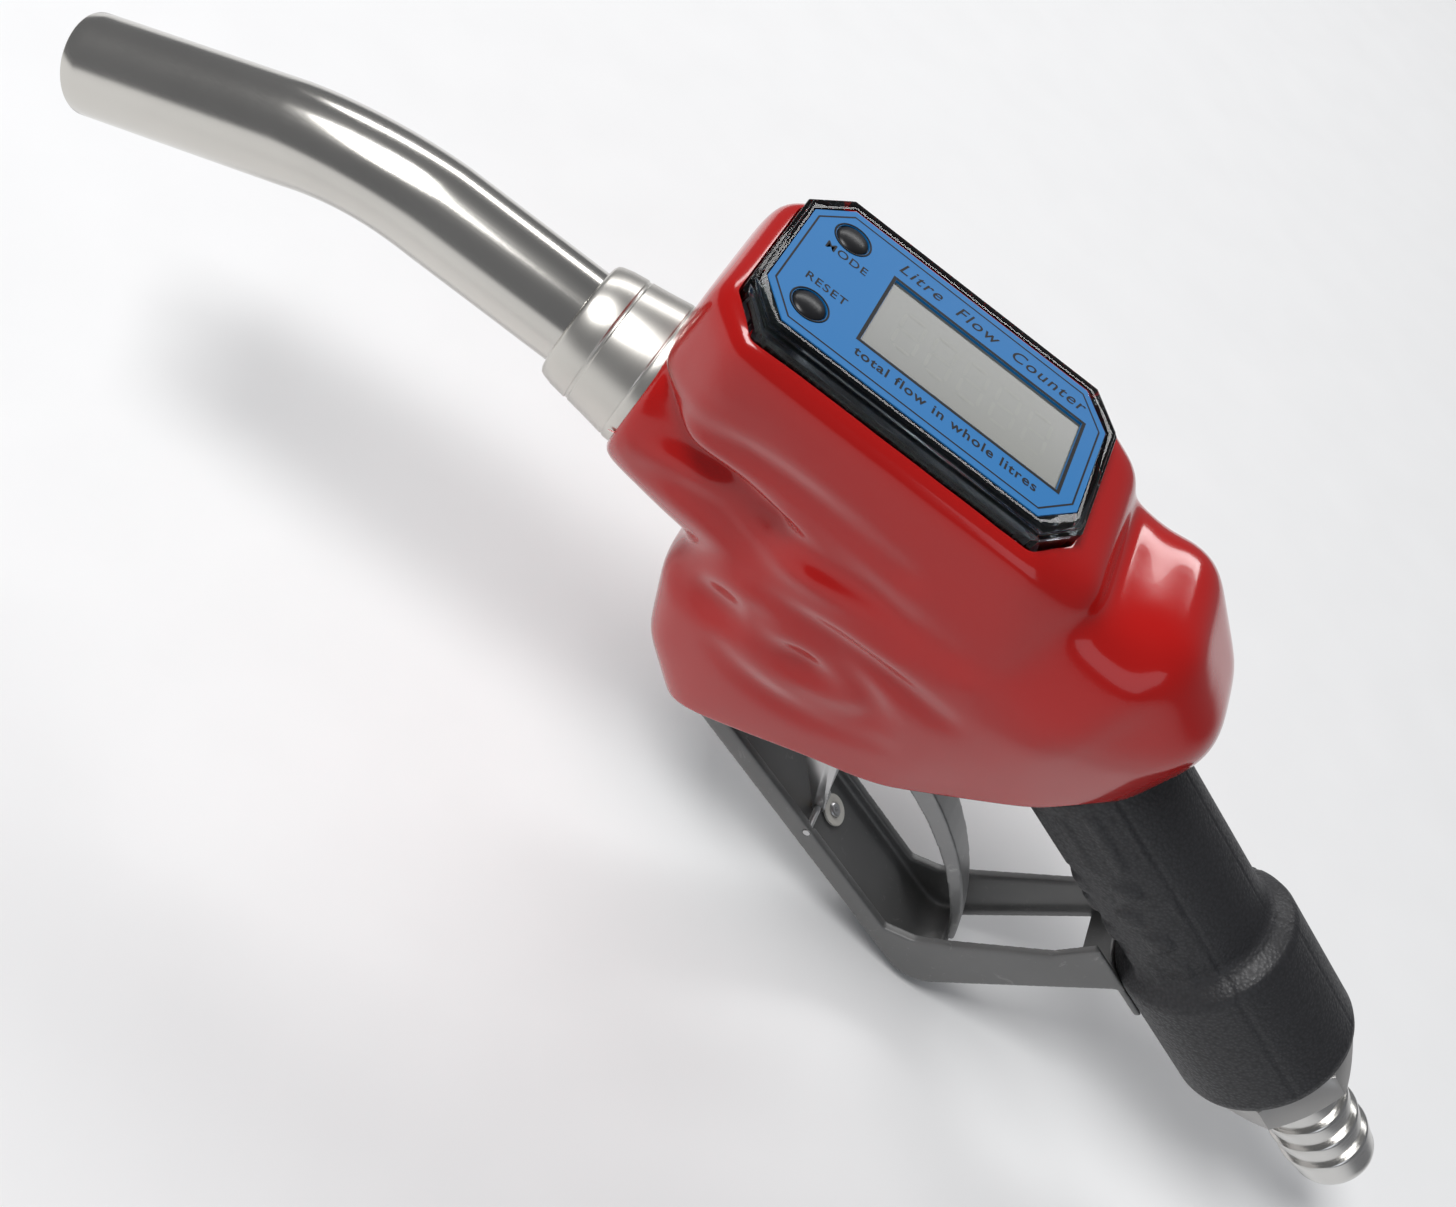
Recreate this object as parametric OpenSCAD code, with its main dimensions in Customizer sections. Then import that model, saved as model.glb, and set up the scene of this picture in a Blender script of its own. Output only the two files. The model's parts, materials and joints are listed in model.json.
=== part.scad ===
// Fuel nozzle with a built-in electronic flow meter, for 1 inch hose.
// Millimetres, +Z up, +X towards the spout, +Y to the nozzle's left.
// Origin: centre of the open end of the hose tail.

/* [Spout] */
// Outside diameter of the spout tube
spout_od = 25; // [20:0.5:28]
// Wall thickness of the spout tube
spout_wall = 1.3; // [1:0.1:2]
// Angle that the spout turns down by
spout_bend = 22.4; // [15:0.1:35]
// Radius of the bend at the middle of the tube
spout_bend_r = 100; // [60:5:160]
// Length of the straight tip after the bend
spout_tip_len = 56.5; // [40:0.5:90]
// Length of the turned collar that stands out of the cover
collar_len = 24; // [18:1:32]

/* [Barrel] */
// Radius of the barrel of the casting
barrel_r = 18.4; // [17:0.1:19]
// Radius of the flow bore that holds the turbine
flow_r = 12.5; // [10:0.5:13]
// Number of turbine blades
blade_count = 6; // [4:1:8]

/* [Handle] */
// Angle of the handle below the barrel
handle_tilt = 25; // [20:0.5:30]
// Outside radius of the slim part of the grip
grip_r = 19.6; // [18:0.1:21]
// Outside radius of the grip's inlet end
grip_end_r = 24.7; // [23:0.1:26]
// Distance from the barrel axis to the inlet face, along the handle
inlet_s = 136; // [125:1:150]

/* [Hose tail] */
// Major diameter of the G 1 inlet thread
thread_d = 33.24; // [30:0.01:36]
// Pitch of the inlet thread
thread_pitch = 2.309; // [1.5:0.001:3]
// Distance across the flats of the hexagon
hex_af = 38; // [36:1:41]
// Largest diameter of the barbs, for a 25 mm hose
barb_d = 25.4; // [24:0.1:27]
// Length of the barbed end
barb_len = 38; // [30:1:50]

/* [Meter] */
// Length of the clear meter shell
shell_len = 86.5; // [80:0.5:90]
// Width of the clear meter shell
shell_w = 56; // [52:0.5:60]
// Height of the display face above the barrel axis
face_z = 53.5; // [50:0.5:56]
// Height of the clear shell
shell_h = 22; // [18:0.5:23]
// Radius of each push button
button_r = 4.1; // [3.5:0.1:5]
// Travel of each push button
button_travel = 0.8; // [0.5:0.1:1.2]

/* [Lever] */
// Radius of the curve of the lever
lever_curve_r = 104.5; // [95:0.5:115]

/* [Guard] */
// Outside width of the guard
guard_w = 29.2; // [26:0.1:32]
// Thickness of the guard's web and rails
guard_t = 3; // [2.5:0.1:4]

/* [Cover] */
// Wall thickness of the soft cover
cover_t = 2.2; // [1.8:0.1:3]

/* [Hidden] */
$fn = 64;
eps = 0.01;
fit = 0.05;

// The hose tail runs on from the inlet face, away from the nozzle.
tail_gap = 0.6;
hex_len = 10.5;
tail_end_s = inlet_s + tail_gap + hex_len + barb_len;

// The handle axis crosses the barrel axis behind the centre of the display.
handle_x = -69.6;
barrel_x = tail_end_s * cos(handle_tilt) - handle_x;
barrel_z = tail_end_s * sin(handle_tilt);

// Barrel frame: origin on the barrel axis, below the centre of the display.
module at_barrel() {
  translate([barrel_x, 0, barrel_z]) children();
}

// A shape drawn up the Z axis, laid along the barrel from x, pointing forward.
module along_barrel(x) {
  at_barrel() translate([x, 0, 0]) rotate([0, 90, 0]) children();
}

// A shape drawn up the Z axis, laid along the handle from distance s, pointing to the hose.
module along_handle(s) {
  at_barrel() translate([handle_x, 0, 0]) rotate([0, -90 - handle_tilt, 0])
    translate([0, 0, s]) children();
}

// A profile drawn in X and Z, given a width in Y about the middle plane.
module side_profile(width) {
  at_barrel() rotate([90, 0, 0]) translate([0, 0, -width / 2]) linear_extrude(width) children();
}

// A ring drawn up the Z axis.
module tube(r_out, r_in, len) {
  difference() {
    cylinder(r = r_out, h = len);
    translate([0, 0, -1]) cylinder(r = r_in, h = len + 2);
  }
}

// A ring of round section, centred on the origin.
module o_ring(r_mid, r_sec) {
  rotate_extrude($fn = 64) translate([r_mid, 0]) circle(r = r_sec, $fn = 24);
}

// Points of an arc from angle a0 to a1 in n steps.
function arc(cx, cy, r, a0, a1, n) =
  [for (i = [0:n]) [cx + r * cos(a0 + (a1 - a0) * i / n), cy + r * sin(a0 + (a1 - a0) * i / n)]];

// Casting
chamber_x = -60;
chamber_r = 14.5;
chamber_top = 22;
chamber_bottom = -22;
chamber_wall = 3.8;
seat_z = 0;
seat_h = 3;
port_r = 7;
core_r = 16.5;
handle_bore_r = 11;
inlet_boss_r = 21;
inlet_boss_s = 92;
boss_end_s = 134;
thread_s = 116;
female_r = thread_d / 2 + fit;
barrel_front = 44.5;
barrel_back = -62;
socket_r = 15.1;
socket_x = 26.5;
saddle_top = 30;
saddle_w = 34;
stem_r = 3;
gland_r = 6;
gland_bottom = -29;
sensor_r = 4;
sensor_z = 16.5;
leg_screw_x = [-20, -8];
screw_r = 1.5;
lug_x = -46;
lug_z = -42;
lug_w = 7;
lug_r = 6.5;
lug_gap = 16;
pin_r = 2.5;

module casting_outside() {
  along_barrel(barrel_back) cylinder(r = barrel_r, h = barrel_front - barrel_back);
  at_barrel() translate([chamber_x, 0, chamber_bottom - 4])
    cylinder(r = chamber_r + chamber_wall, h = chamber_top - chamber_bottom + 6);
  at_barrel() translate([-42, -saddle_w / 2, 0]) cube([54, saddle_w, saddle_top - 4]);
  at_barrel() translate([0, 0, saddle_top - 8]) linear_extrude(8) shell_outline(1);
  along_handle(0) cylinder(r = core_r, h = boss_end_s);
  along_handle(inlet_boss_s) cylinder(r = inlet_boss_r, h = boss_end_s - inlet_boss_s);
  at_barrel() translate([chamber_x, 0, gland_bottom]) cylinder(r = 9, h = 10);
  for (side = [-1, 1]) {
    side_lug(side);
  }
}

// Ear that carries the lever's pivot.
module side_lug(side) {
  at_barrel() translate([lug_x, side * (lug_gap / 2 + lug_w / 2), lug_z]) {
    rotate([90, 0, 0]) translate([0, 0, -lug_w / 2]) cylinder(r = lug_r, h = lug_w);
    translate([-lug_r, -lug_w / 2, 0]) cube([2 * lug_r, lug_w, -lug_z - 10]);
  }
}

module body_casting() {
  color("lightgrey") difference() {
    casting_outside();
    along_barrel(-41) cylinder(r = flow_r, h = 90);
    along_barrel(socket_x) cylinder(r = socket_r, h = 20);
    along_barrel(-52) translate([-8, 0, 0]) cylinder(r = port_r, h = 14);
    at_barrel() translate([chamber_x, 0, chamber_bottom])
      cylinder(r = chamber_r, h = chamber_top - chamber_bottom + 10);
    at_barrel() translate([-84, 0, -9]) rotate([0, 90, 0]) cylinder(r = port_r, h = 14);
    along_handle(14) cylinder(r = handle_bore_r, h = inlet_s);
    along_handle(thread_s) cylinder(r = female_r, h = 30);
    along_handle(thread_s - 6) cylinder(r = 14, h = 10);
    at_barrel() translate([chamber_x, 0, gland_bottom - 5]) cylinder(r = gland_r, h = 20);
    at_barrel() translate([0, 0, sensor_z]) cylinder(r = sensor_r + fit, h = 20);
    at_barrel() translate([lug_x, 20, lug_z]) rotate([90, 0, 0])
      cylinder(r = pin_r + eps, h = 40);
    for (x = [-36, 34], y = [-17, 17]) {
      at_barrel() translate([x, y, saddle_top - 9]) cylinder(r = screw_r, h = 10);
    }
    for (x = leg_screw_x) {
      at_barrel() translate([x, 0, -barrel_r - 1]) cylinder(r = screw_r, h = 4.5);
    }
    along_handle(foot_s + 9) rotate([0, -90, 0]) translate([0, 0, 16]) cylinder(r = screw_r, h = 20);
  }
}

// Valve
poppet_r = 11.5;
seat_port_r = 9;
seal_h = 1.2;
stem_foot_z = -40.25;
poppet_top_z = 4.3;

module valve_seat() {
  color("goldenrod") at_barrel() translate([chamber_x, 0, seat_z - seat_h])
    tube(chamber_r - fit, seat_port_r, seat_h);
}

module poppet_seal() {
  color("black") at_barrel() translate([chamber_x, 0, seat_z + eps])
    tube(poppet_r, stem_r + 1.5, seal_h);
}

module poppet() {
  color("silver") at_barrel() translate([chamber_x, 0, seat_z + seal_h + 2 * eps])
    difference() {
      union() {
        cylinder(r = poppet_r, h = 2.4);
        cylinder(r = 5, h = 5);
      }
      translate([0, 0, -1]) cylinder(r = stem_r, h = 4.2);
    }
}

module valve_stem() {
  color("silver") at_barrel() translate([chamber_x, 0, 0]) {
    translate([0, 0, stem_foot_z]) cylinder(r = stem_r - eps, h = poppet_top_z - stem_foot_z);
    translate([0, 0, stem_foot_z]) sphere(r = stem_r - eps);
  }
}

spring_turns = 4;
spring_wire = 0.7;
spring_bottom = 4.5;
spring_step = 3.4;
module poppet_spring() {
  color("silver") for (i = [0:spring_turns]) {
    at_barrel() translate([chamber_x, 0, spring_bottom + i * spring_step]) o_ring(7.6, spring_wire);
  }
}

cap_z = 19;
module valve_cap() {
  color("goldenrod") at_barrel() translate([chamber_x, 0, cap_z]) difference() {
    union() {
      cylinder(r = chamber_r - fit, h = 4.95);
      translate([0, 0, 5]) cylinder(r = 17, h = 3);
      translate([0, 0, 8]) cylinder(r = 9, h = 4, $fn = 6);
    }
    translate([0, 0, -1]) cylinder(r = 6, h = 3);
    translate([0, 0, 2]) rotate_extrude() translate([chamber_r - 1.6, 0]) square([3, 2]);
  }
}

module cap_o_ring() {
  color("black") at_barrel() translate([chamber_x, 0, cap_z + 3]) o_ring(chamber_r - 0.9, 0.68);
}

module stem_gland() {
  color("goldenrod") at_barrel() translate([chamber_x, 0, gland_bottom - 3]) {
    difference() {
      union() {
        translate([0, 0, 3.1]) cylinder(r = gland_r - fit, h = 6.8);
        cylinder(r = 7.5, h = 2.9, $fn = 6);
        cylinder(r = gland_r - fit, h = 4);
      }
      translate([0, 0, -1]) cylinder(r = stem_r + fit, h = 12);
      translate([0, 0, 6]) cylinder(r = 4.8, h = 6);
    }
  }
}

module stem_o_ring() {
  color("black") at_barrel() translate([chamber_x, 0, gland_bottom + 4.2]) o_ring(3.9, 0.82);
}

// Turbine
rotor_x = 4;
rotor_len = 9;
hub_r = 3.6;
shaft_r = 1;
module turbine_rotor() {
  color("ivory") difference() {
    intersection() {
      along_barrel(rotor_x) cylinder(r = flow_r - 0.5, h = rotor_len);
      union() {
        along_barrel(rotor_x) cylinder(r = hub_r, h = rotor_len);
        for (i = [0:blade_count - 1]) {
          along_barrel(rotor_x + rotor_len / 2) rotate([0, 0, i * 360 / blade_count])
            rotate([30, 0, 0]) translate([hub_r - 1.2, -0.5, -8]) cube([12, 1, 16]);
        }
      }
    }
    along_barrel(rotor_x - 1) cylinder(r = shaft_r + fit, h = rotor_len + 2);
  }
}

module rotor_shaft() {
  color("silver") along_barrel(-7.5) cylinder(r = shaft_r, h = 31);
}

// Three-legged carrier that centres the rotor's shaft in the bore.
module support(x) {
  difference() {
    union() {
      along_barrel(x) cylinder(r = hub_r, h = 8);
      along_barrel(x) tube(flow_r - fit, flow_r - 1, 8);
      for (a = [0:120:240]) {
        along_barrel(x) rotate([0, 0, a]) translate([2, -0.6, 0.6]) cube([9.8, 1.2, 6.8]);
      }
    }
    along_barrel(x - 1) cylinder(r = shaft_r + eps, h = 10);
  }
}

module front_support() {
  color("ivory") support(15);
}

module rear_support() {
  color("ivory") support(-6.5);
}

module pickup_sensor() {
  color("dimgrey") at_barrel() translate([0, 0, sensor_z + eps]) cylinder(r = sensor_r, h = 11);
}

// Meter module
shell_back = -44;
shell_cut_x = 8.2;
shell_cut_y = 10;
shell_wall = 2;
shell_bottom = face_z - shell_h;
label_len = 80.6;
label_w = 47.2;
label_cut_x = 7.6;
label_cut_y = 9;
label_x = -0.3;
label_t = 0.6;
lcd_x = -8.9;
lcd_y = 0.35;
lcd_len = 51.5;
lcd_w = 24.9;
button_x = 29.5;
button_y = 14.1;
board_z = 45.4;
board_t = 1.6;
clear_hole = 0.1;
button_bottom_z = board_z + board_t + 0.6 + button_travel;

// Rectangle with its corners cut off, centred on x.
module octagon(len, width, cut_x, cut_y) {
  hl = len / 2;
  hw = width / 2;
  polygon([
    [hl, hw - cut_y], [hl - cut_x, hw], [cut_x - hl, hw], [-hl, hw - cut_y],
    [-hl, cut_y - hw], [cut_x - hl, -hw], [hl - cut_x, -hw], [hl, cut_y - hw]
  ]);
}

module shell_outline(inset) {
  translate([shell_back + shell_len / 2, 0])
    octagon(shell_len - 2 * inset, shell_w - 2 * inset, shell_cut_x - inset / 2, shell_cut_y - inset / 2);
}

// Places a shape at each push button.
module at_button(side) {
  at_barrel() translate([button_x, side * button_y, 0]) children();
}

module clear_shell() {
  color([0.85, 0.9, 0.95, 0.5]) difference() {
    at_barrel() translate([0, 0, shell_bottom]) linear_extrude(shell_h - 1) shell_outline(0);
    at_barrel() translate([0, 0, shell_bottom - 1]) linear_extrude(shell_h - 3) shell_outline(shell_wall);
    at_barrel() translate([lcd_x - 27.5, lcd_y - 14, 45]) cube([55, 28, 20]);
    for (side = [-1, 1]) {
      at_button(side) translate([0, 0, 45]) cylinder(r = button_r + clear_hole, h = 20);
    }
  }
  color([0.85, 0.9, 0.95, 0.5]) difference() {
    at_barrel() translate([0, 0, face_z - 1]) linear_extrude(1) shell_outline(1);
    at_barrel() translate([label_x, 0, face_z - label_t - eps]) linear_extrude(5)
      octagon(label_len + 0.1, label_w + 0.1, label_cut_x, label_cut_y);
    at_barrel() translate([lcd_x - 27.5, lcd_y - 14, 45]) cube([55, 28, 20]);
    for (side = [-1, 1]) {
      at_button(side) translate([0, 0, 45]) cylinder(r = button_r + clear_hole, h = 20);
    }
  }
}

module label_plate() {
  color("royalblue") difference() {
    at_barrel() translate([label_x, 0, face_z - label_t]) linear_extrude(label_t)
      octagon(label_len, label_w, label_cut_x, label_cut_y);
    at_barrel() translate([lcd_x - lcd_len / 2, lcd_y - lcd_w / 2, 45]) cube([lcd_len, lcd_w, 20]);
    for (side = [-1, 1]) {
      at_button(side) translate([0, 0, 45]) cylinder(r = button_r + clear_hole, h = 20);
    }
  }
}

module lcd_panel() {
  color("darkseagreen") at_barrel() translate([lcd_x - 27, lcd_y - 13.5, 49.8])
    cube([54, 27, face_z - label_t - 49.8 - eps]);
}

module circuit_board() {
  color("darkgreen") at_barrel() translate([label_x, 0, board_z]) linear_extrude(board_t)
    octagon(79, 49, label_cut_x, label_cut_y);
}

// Push button with a flange that keeps it under the shell.
module button(side) {
  at_button(side) {
    translate([0, 0, button_bottom_z]) cylinder(r = button_r, h = face_z - button_bottom_z);
    translate([0, 0, button_bottom_z]) cylinder(r = button_r + 1, h = 1);
    translate([0, 0, face_z]) cylinder(r1 = button_r, r2 = button_r - 0.8, h = 0.7);
  }
}

module mode_button() {
  color("black") button(-1);
}

module reset_button() {
  color("black") button(1);
}

module switch_pair() {
  color("dimgrey") for (side = [-1, 1]) {
    at_button(side) translate([-3, -3, board_z + board_t]) cube([6, 6, 0.5]);
  }
}

battery_r = 5.2;
battery_len = 44;
battery_z = 38.2;
battery_y = 12;
module battery_tray() {
  color("dimgrey") difference() {
    at_barrel() translate([-38, -22.5, 32.2]) cube([74, 45, 12.6]);
    for (side = [-1, 1]) {
      at_barrel() translate([-26, side * battery_y, battery_z]) rotate([0, 90, 0])
        cylinder(r = battery_r + 0.3, h = battery_len + 4);
      at_barrel() translate([-26, side * battery_y - 5.5, battery_z]) cube([battery_len + 4, 11, 20]);
    }
  }
}

module battery(side) {
  at_barrel() translate([-24, side * battery_y, battery_z]) rotate([0, 90, 0])
    cylinder(r = battery_r, h = battery_len);
  at_barrel() translate([-24 + battery_len, side * battery_y, battery_z]) rotate([0, 90, 0])
    cylinder(r = 1.9, h = 0.9);
}

module battery_left() {
  color("darkorange") battery(1);
}

module battery_right() {
  color("darkorange") battery(-1);
}

module battery_contacts() {
  color("silver") for (side = [-1, 1], x = [-25.6, 21.2]) {
    at_barrel() translate([x, side * battery_y - 3.5, battery_z - 3]) cube([0.4, 7, 8]);
  }
}

module module_gasket() {
  color("black") difference() {
    at_barrel() translate([0, 0, saddle_top + eps]) linear_extrude(shell_bottom - saddle_top - 2 * eps)
      shell_outline(0.5);
    at_barrel() translate([0, 0, saddle_top]) linear_extrude(6) shell_outline(3);
  }
}

module module_screws() {
  color("silver") for (x = [-36, 34], y = [-17, 17]) {
    at_barrel() translate([x, y, saddle_top - 8]) cylinder(r = screw_r, h = 9);
    at_barrel() translate([x, y, saddle_top + eps]) cylinder(r = 2.8, h = 2);
  }
}

// Spout
spout_r = spout_od / 2;
collar_front = barrel_front + collar_len;
bend_x = 108.5;
spout_start = 34;
bend_lap = 0.05;
bend_ease = 0.03;

// Straight length from inside the collar, the bend, and the straight tip, end to end.
// The bend is drawn in by a few hundredths, and laps into the straights, so that they join cleanly.
module spout_tube() {
  bore = spout_r - spout_wall;
  color("silver") {
    along_barrel(spout_start) tube(spout_r, bore, bend_x - spout_start);
    at_barrel() translate([bend_x, 0, -spout_bend_r]) rotate([90, 0, 0])
      rotate([0, 0, 90 - spout_bend - bend_lap]) rotate_extrude(angle = spout_bend + 2 * bend_lap)
        translate([spout_bend_r, 0]) difference() {
          circle(r = spout_r - bend_ease);
          circle(r = bore + bend_ease);
        }
    at_barrel() translate([bend_x, 0, -spout_bend_r]) rotate([0, spout_bend, 0])
      translate([0, 0, spout_bend_r]) rotate([0, 90, 0]) tube(spout_r, bore, spout_tip_len);
  }
}

module spout_collar() {
  color("lightgrey") difference() {
    along_barrel(0) rotate_extrude($fn = 96) polygon([
      [spout_r, 30], [socket_r - fit, 30], [socket_r - fit, barrel_front + eps],
      [barrel_r, barrel_front + eps], [18.8, barrel_front + 1], [18.6, 48.5], [17.4, 55],
      [16.7, 60], [16.2, 64.5], [15.4, collar_front - 0.6], [14.8, collar_front],
      [spout_r, collar_front]
    ]);
    along_barrel(20) cylinder(r = spout_r, h = 60);
  }
}

module spout_o_ring() {
  color("black") along_barrel(28.2) o_ring(13.6, 1.3);
}

// Guard: outside line, from the front leg down and back to the corner, then up to the handle.
leg_x = 3;
leg_top = -18.6;
front_angle = 23.1;
rear_angle = 57.8;
bend_r = 10;
front_c = [leg_x - bend_r, -58];
corner_c = [-110.6, -102.1];
rear_end = [-150.3, -58];

// Line of the guard at depth d inside its outside line.
function guard_line(d) = concat(
  [[leg_x - d, leg_top]],
  arc(front_c[0], front_c[1], bend_r - d, 0, front_angle - 90, 6),
  arc(corner_c[0], corner_c[1], bend_r - d, front_angle - 90, -90 - rear_angle, 8),
  [[rear_end[0] + d * sin(rear_angle), rear_end[1] + d * cos(rear_angle)]]
);

function reversed(list) = [for (i = [len(list) - 1:-1:0]) list[i]];

module guard_band(d0, d1) {
  polygon(concat(guard_line(d0), reversed(guard_line(d1))));
}

rail_h = 6.3;
slot_w = 20;
slot_len = 42;
foot_s = 93.5;
foot_len = 15;
module guard_frame() {
  color("dimgrey") difference() {
    union() {
      side_profile(guard_w) guard_band(0, guard_t);
      for (side = [-1, 1]) {
        translate([0, side * (guard_w - guard_t) / 2, 0]) side_profile(guard_t) guard_band(0, rail_h);
        translate([0, side * (guard_w - guard_t) / 2, 0]) side_profile(guard_t) rear_rail();
      }
      side_profile(guard_w) leg_foot();
      intersection() {
        along_handle(foot_s) cylinder(r = grip_end_r + 2, h = foot_len);
        along_handle(foot_s) translate([-60, 0.5 - guard_w / 2, 0]) cube([60, guard_w - 1, foot_len]);
      }
    }
    side_profile(slot_w) slot_profile();
    along_handle(foot_s - 20) cylinder(r = grip_end_r + 0.1, h = 60);
    at_barrel() translate([latch_x, 20, latch_z]) rotate([90, 0, 0])
      cylinder(r = latch_pin_r + eps, h = 40);
    for (x = leg_screw_x) {
      at_barrel() translate([x, 0, leg_top - 8]) cylinder(r = screw_r + 0.1, h = 12);
    }
    along_handle(foot_s + 9) rotate([0, -90, 0]) cylinder(r = screw_r + 0.1, h = 40);
  }
}

// Foot that the front leg stands against the barrel with.
module leg_foot() {
  translate([-28, leg_top - 4]) square([28 + leg_x, 4]);
}

// Deeper rails along the rear bar.
module rear_rail() {
  polygon(concat(
    [[-95, -101]],
    arc(corner_c[0], corner_c[1], bend_r, front_angle - 90, -90 - rear_angle, 8),
    [rear_end, [-136, -52], [-130, -66.8], [-112, -89.7], [-105, -97]]
  ));
}

// Long opening in the web of the rear bar, for the lever's tip.
module slot_profile() {
  translate(corner_c) rotate(-rear_angle) translate([-slot_len - 1, -bend_r - 4])
    square([slot_len, bend_r + 3]);
}

latch_x = -60.4;
latch_z = -86.1;
latch_pin_r = 1;
latch_y = 4.4;
latch_t = 1.5;
latch_boss_r = 1.9;

module guard_screws() {
  color("silver") for (x = leg_screw_x) {
    at_barrel() translate([x, 0, leg_top - 6]) cylinder(r = 2.8, h = 2 - eps);
    at_barrel() translate([x, 0, leg_top - 4 - eps]) cylinder(r = screw_r, h = 7);
  }
  along_handle(foot_s + 9) rotate([0, -90, 0]) {
    translate([0, 0, 17]) cylinder(r = screw_r, h = grip_end_r - 15);
    translate([0, 0, grip_end_r + 2 + eps]) cylinder(r = 2.8, h = 1.6);
  }
}

// Lever
lever_c = [-22, -145];
lever_w = 12;
lever_front_a = 103;
lever_tip_a = 156;
function lever_t(a) = 7.4 - 5.2 * pow((a - lever_front_a) / (lever_tip_a - lever_front_a), 1.3);

module lever_side() {
  n = 20;
  step = (lever_tip_a - lever_front_a) / n;
  upper = [for (i = [0:n]) let (a = lever_front_a + i * step, r = lever_curve_r + lever_t(a) / 2)
    [lever_c[0] + r * cos(a), lever_c[1] + r * sin(a)]];
  lower = [for (i = [0:n]) let (a = lever_front_a + i * step, r = lever_curve_r - lever_t(a) / 2)
    [lever_c[0] + r * cos(a), lever_c[1] + r * sin(a)]];
  polygon(concat(upper, reversed(lower)));
}

module lever() {
  color("grey") difference() {
    intersection() {
      union() {
        side_profile(lever_w + 4) lever_side();
        at_barrel() translate([lug_x, (lever_w + 3) / 2, lug_z]) rotate([90, 0, 0])
          cylinder(r = 6.6, h = lever_w + 3);
      }
      at_barrel() translate([0, 0, -130]) linear_extrude(110) polygon([
        [-30, 7.5], [-52, 7.5], [-64, 6.4], [-88, 5.6], [-104, 4.4], [-114, 2.6], [-121, 1],
        [-121, -1], [-114, -2.6], [-104, -4.4], [-88, -5.6], [-64, -6.4], [-52, -7.5], [-30, -7.5]
      ]);
    }
    at_barrel() translate([lug_x, 20, lug_z]) rotate([90, 0, 0]) cylinder(r = pin_r + fit, h = 40);
  }
}

module lever_pin() {
  color("silver") at_barrel() translate([lug_x, 15, lug_z]) rotate([90, 0, 0])
    cylinder(r = pin_r, h = 30);
}

module lever_bushes() {
  color("ivory") for (side = [-1, 1]) {
    at_barrel() translate([lug_x, side * 15.4, lug_z]) rotate([90, 0, 0]) translate([0, 0, -0.3])
      tube(4.4, pin_r + eps, 0.6);
  }
}

// Hold-open latch
module latch() {
  color("silver") difference() {
    union() {
      translate([0, latch_y, 0]) side_profile(latch_t) latch_side();
      at_barrel() translate([latch_x, latch_y + latch_t / 2, latch_z]) rotate([90, 0, 0])
        cylinder(r = latch_boss_r, h = latch_t);
    }
    at_barrel() translate([latch_x, 20, latch_z]) rotate([90, 0, 0])
      cylinder(r = latch_pin_r + fit, h = 40);
  }
}

latch_lean = 30;
latch_len = 32.6;
// Tapered blade that leans forward from its pin.
module latch_side() {
  translate([latch_x, latch_z]) rotate(-latch_lean)
    polygon([[-1.6, 0], [1.6, 0], [6, latch_len - 4], [4, latch_len], [-3, latch_len], [-6, latch_len - 4]]);
}

module latch_pin() {
  color("silver") at_barrel() translate([latch_x, guard_w / 2, latch_z]) rotate([90, 0, 0])
    cylinder(r = latch_pin_r, h = guard_w);
}

module latch_spring() {
  color("silver") for (i = [0:3]) {
    at_barrel() translate([latch_x, latch_y - 2 - i * 1.1, latch_z]) rotate([90, 0, 0])
      o_ring(1.45, 0.35);
  }
}

module latch_rivet() {
  color("lightgrey") at_barrel() translate([-66, -1, -90.55]) rotate([0, -front_angle, 0]) {
    cylinder(r = 4.6, h = 0.8);
    cylinder(r = 2.2, h = 1.6);
  }
}

// Handle
module handle_grip() {
  color([0.08, 0.08, 0.09]) difference() {
    along_handle(0) rotate_extrude($fn = 96) polygon([
      [core_r, 26], [grip_r - 0.8, 26], [grip_r, 27], [grip_r, 89], [grip_r + 1.2, 90.5],
      [grip_end_r - 1.8, 92.5], [grip_end_r, 95], [grip_end_r, inlet_s - 2.5],
      [grip_end_r - 2.5, inlet_s], [22.4, inlet_s], [22.4, boss_end_s], [inlet_boss_r, boss_end_s],
      [inlet_boss_r, inlet_boss_s], [core_r, inlet_boss_s]
    ]);
    along_handle(20) cylinder(r = core_r, h = 75);
    along_handle(foot_s + 9) rotate([0, -90, 0]) cylinder(r = screw_r + eps, h = 40);
  }
}

module inlet_screen() {
  color("silver") difference() {
    along_handle(thread_s - 5.5) cylinder(r = 13.9, h = 1);
    for (ring = [[0, 1], [4.6, 6], [9.2, 12]]) {
      for (i = [0:ring[1] - 1]) {
        along_handle(thread_s - 8) rotate([0, 0, i * 360 / ring[1]]) translate([ring[0], 0, 0])
          cylinder(r = 1.6, h = 6, $fn = 24);
      }
    }
  }
}

// Hose tail
tail_bore_r = 9.5;
relief_r = 14.9;
pilot_r = 14;
thread_root_r = thread_d / 2 - 1.48;
turns_drawn = 6;
barb_count = 4;
barb_root_r = 11.6;
hex_s = inlet_s + tail_gap;
barb_s = hex_s + hex_len;
thread_top_s = thread_s + 3.6;
barb_pitch = 7.4;

module hose_tail() {
  color("silver") difference() {
    union() {
      along_handle(hex_s) cylinder(d = hex_af / cos(30), h = hex_len, $fn = 6);
      along_handle(thread_s + 0.4) cylinder(r = pilot_r, h = hex_s - thread_s);
      along_handle(0) rotate_extrude($fn = 96) thread_section();
      along_handle(0) rotate_extrude($fn = 96) barb_section();
    }
    along_handle(thread_s - 5) cylinder(r = tail_bore_r, h = 90);
  }
}

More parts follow.
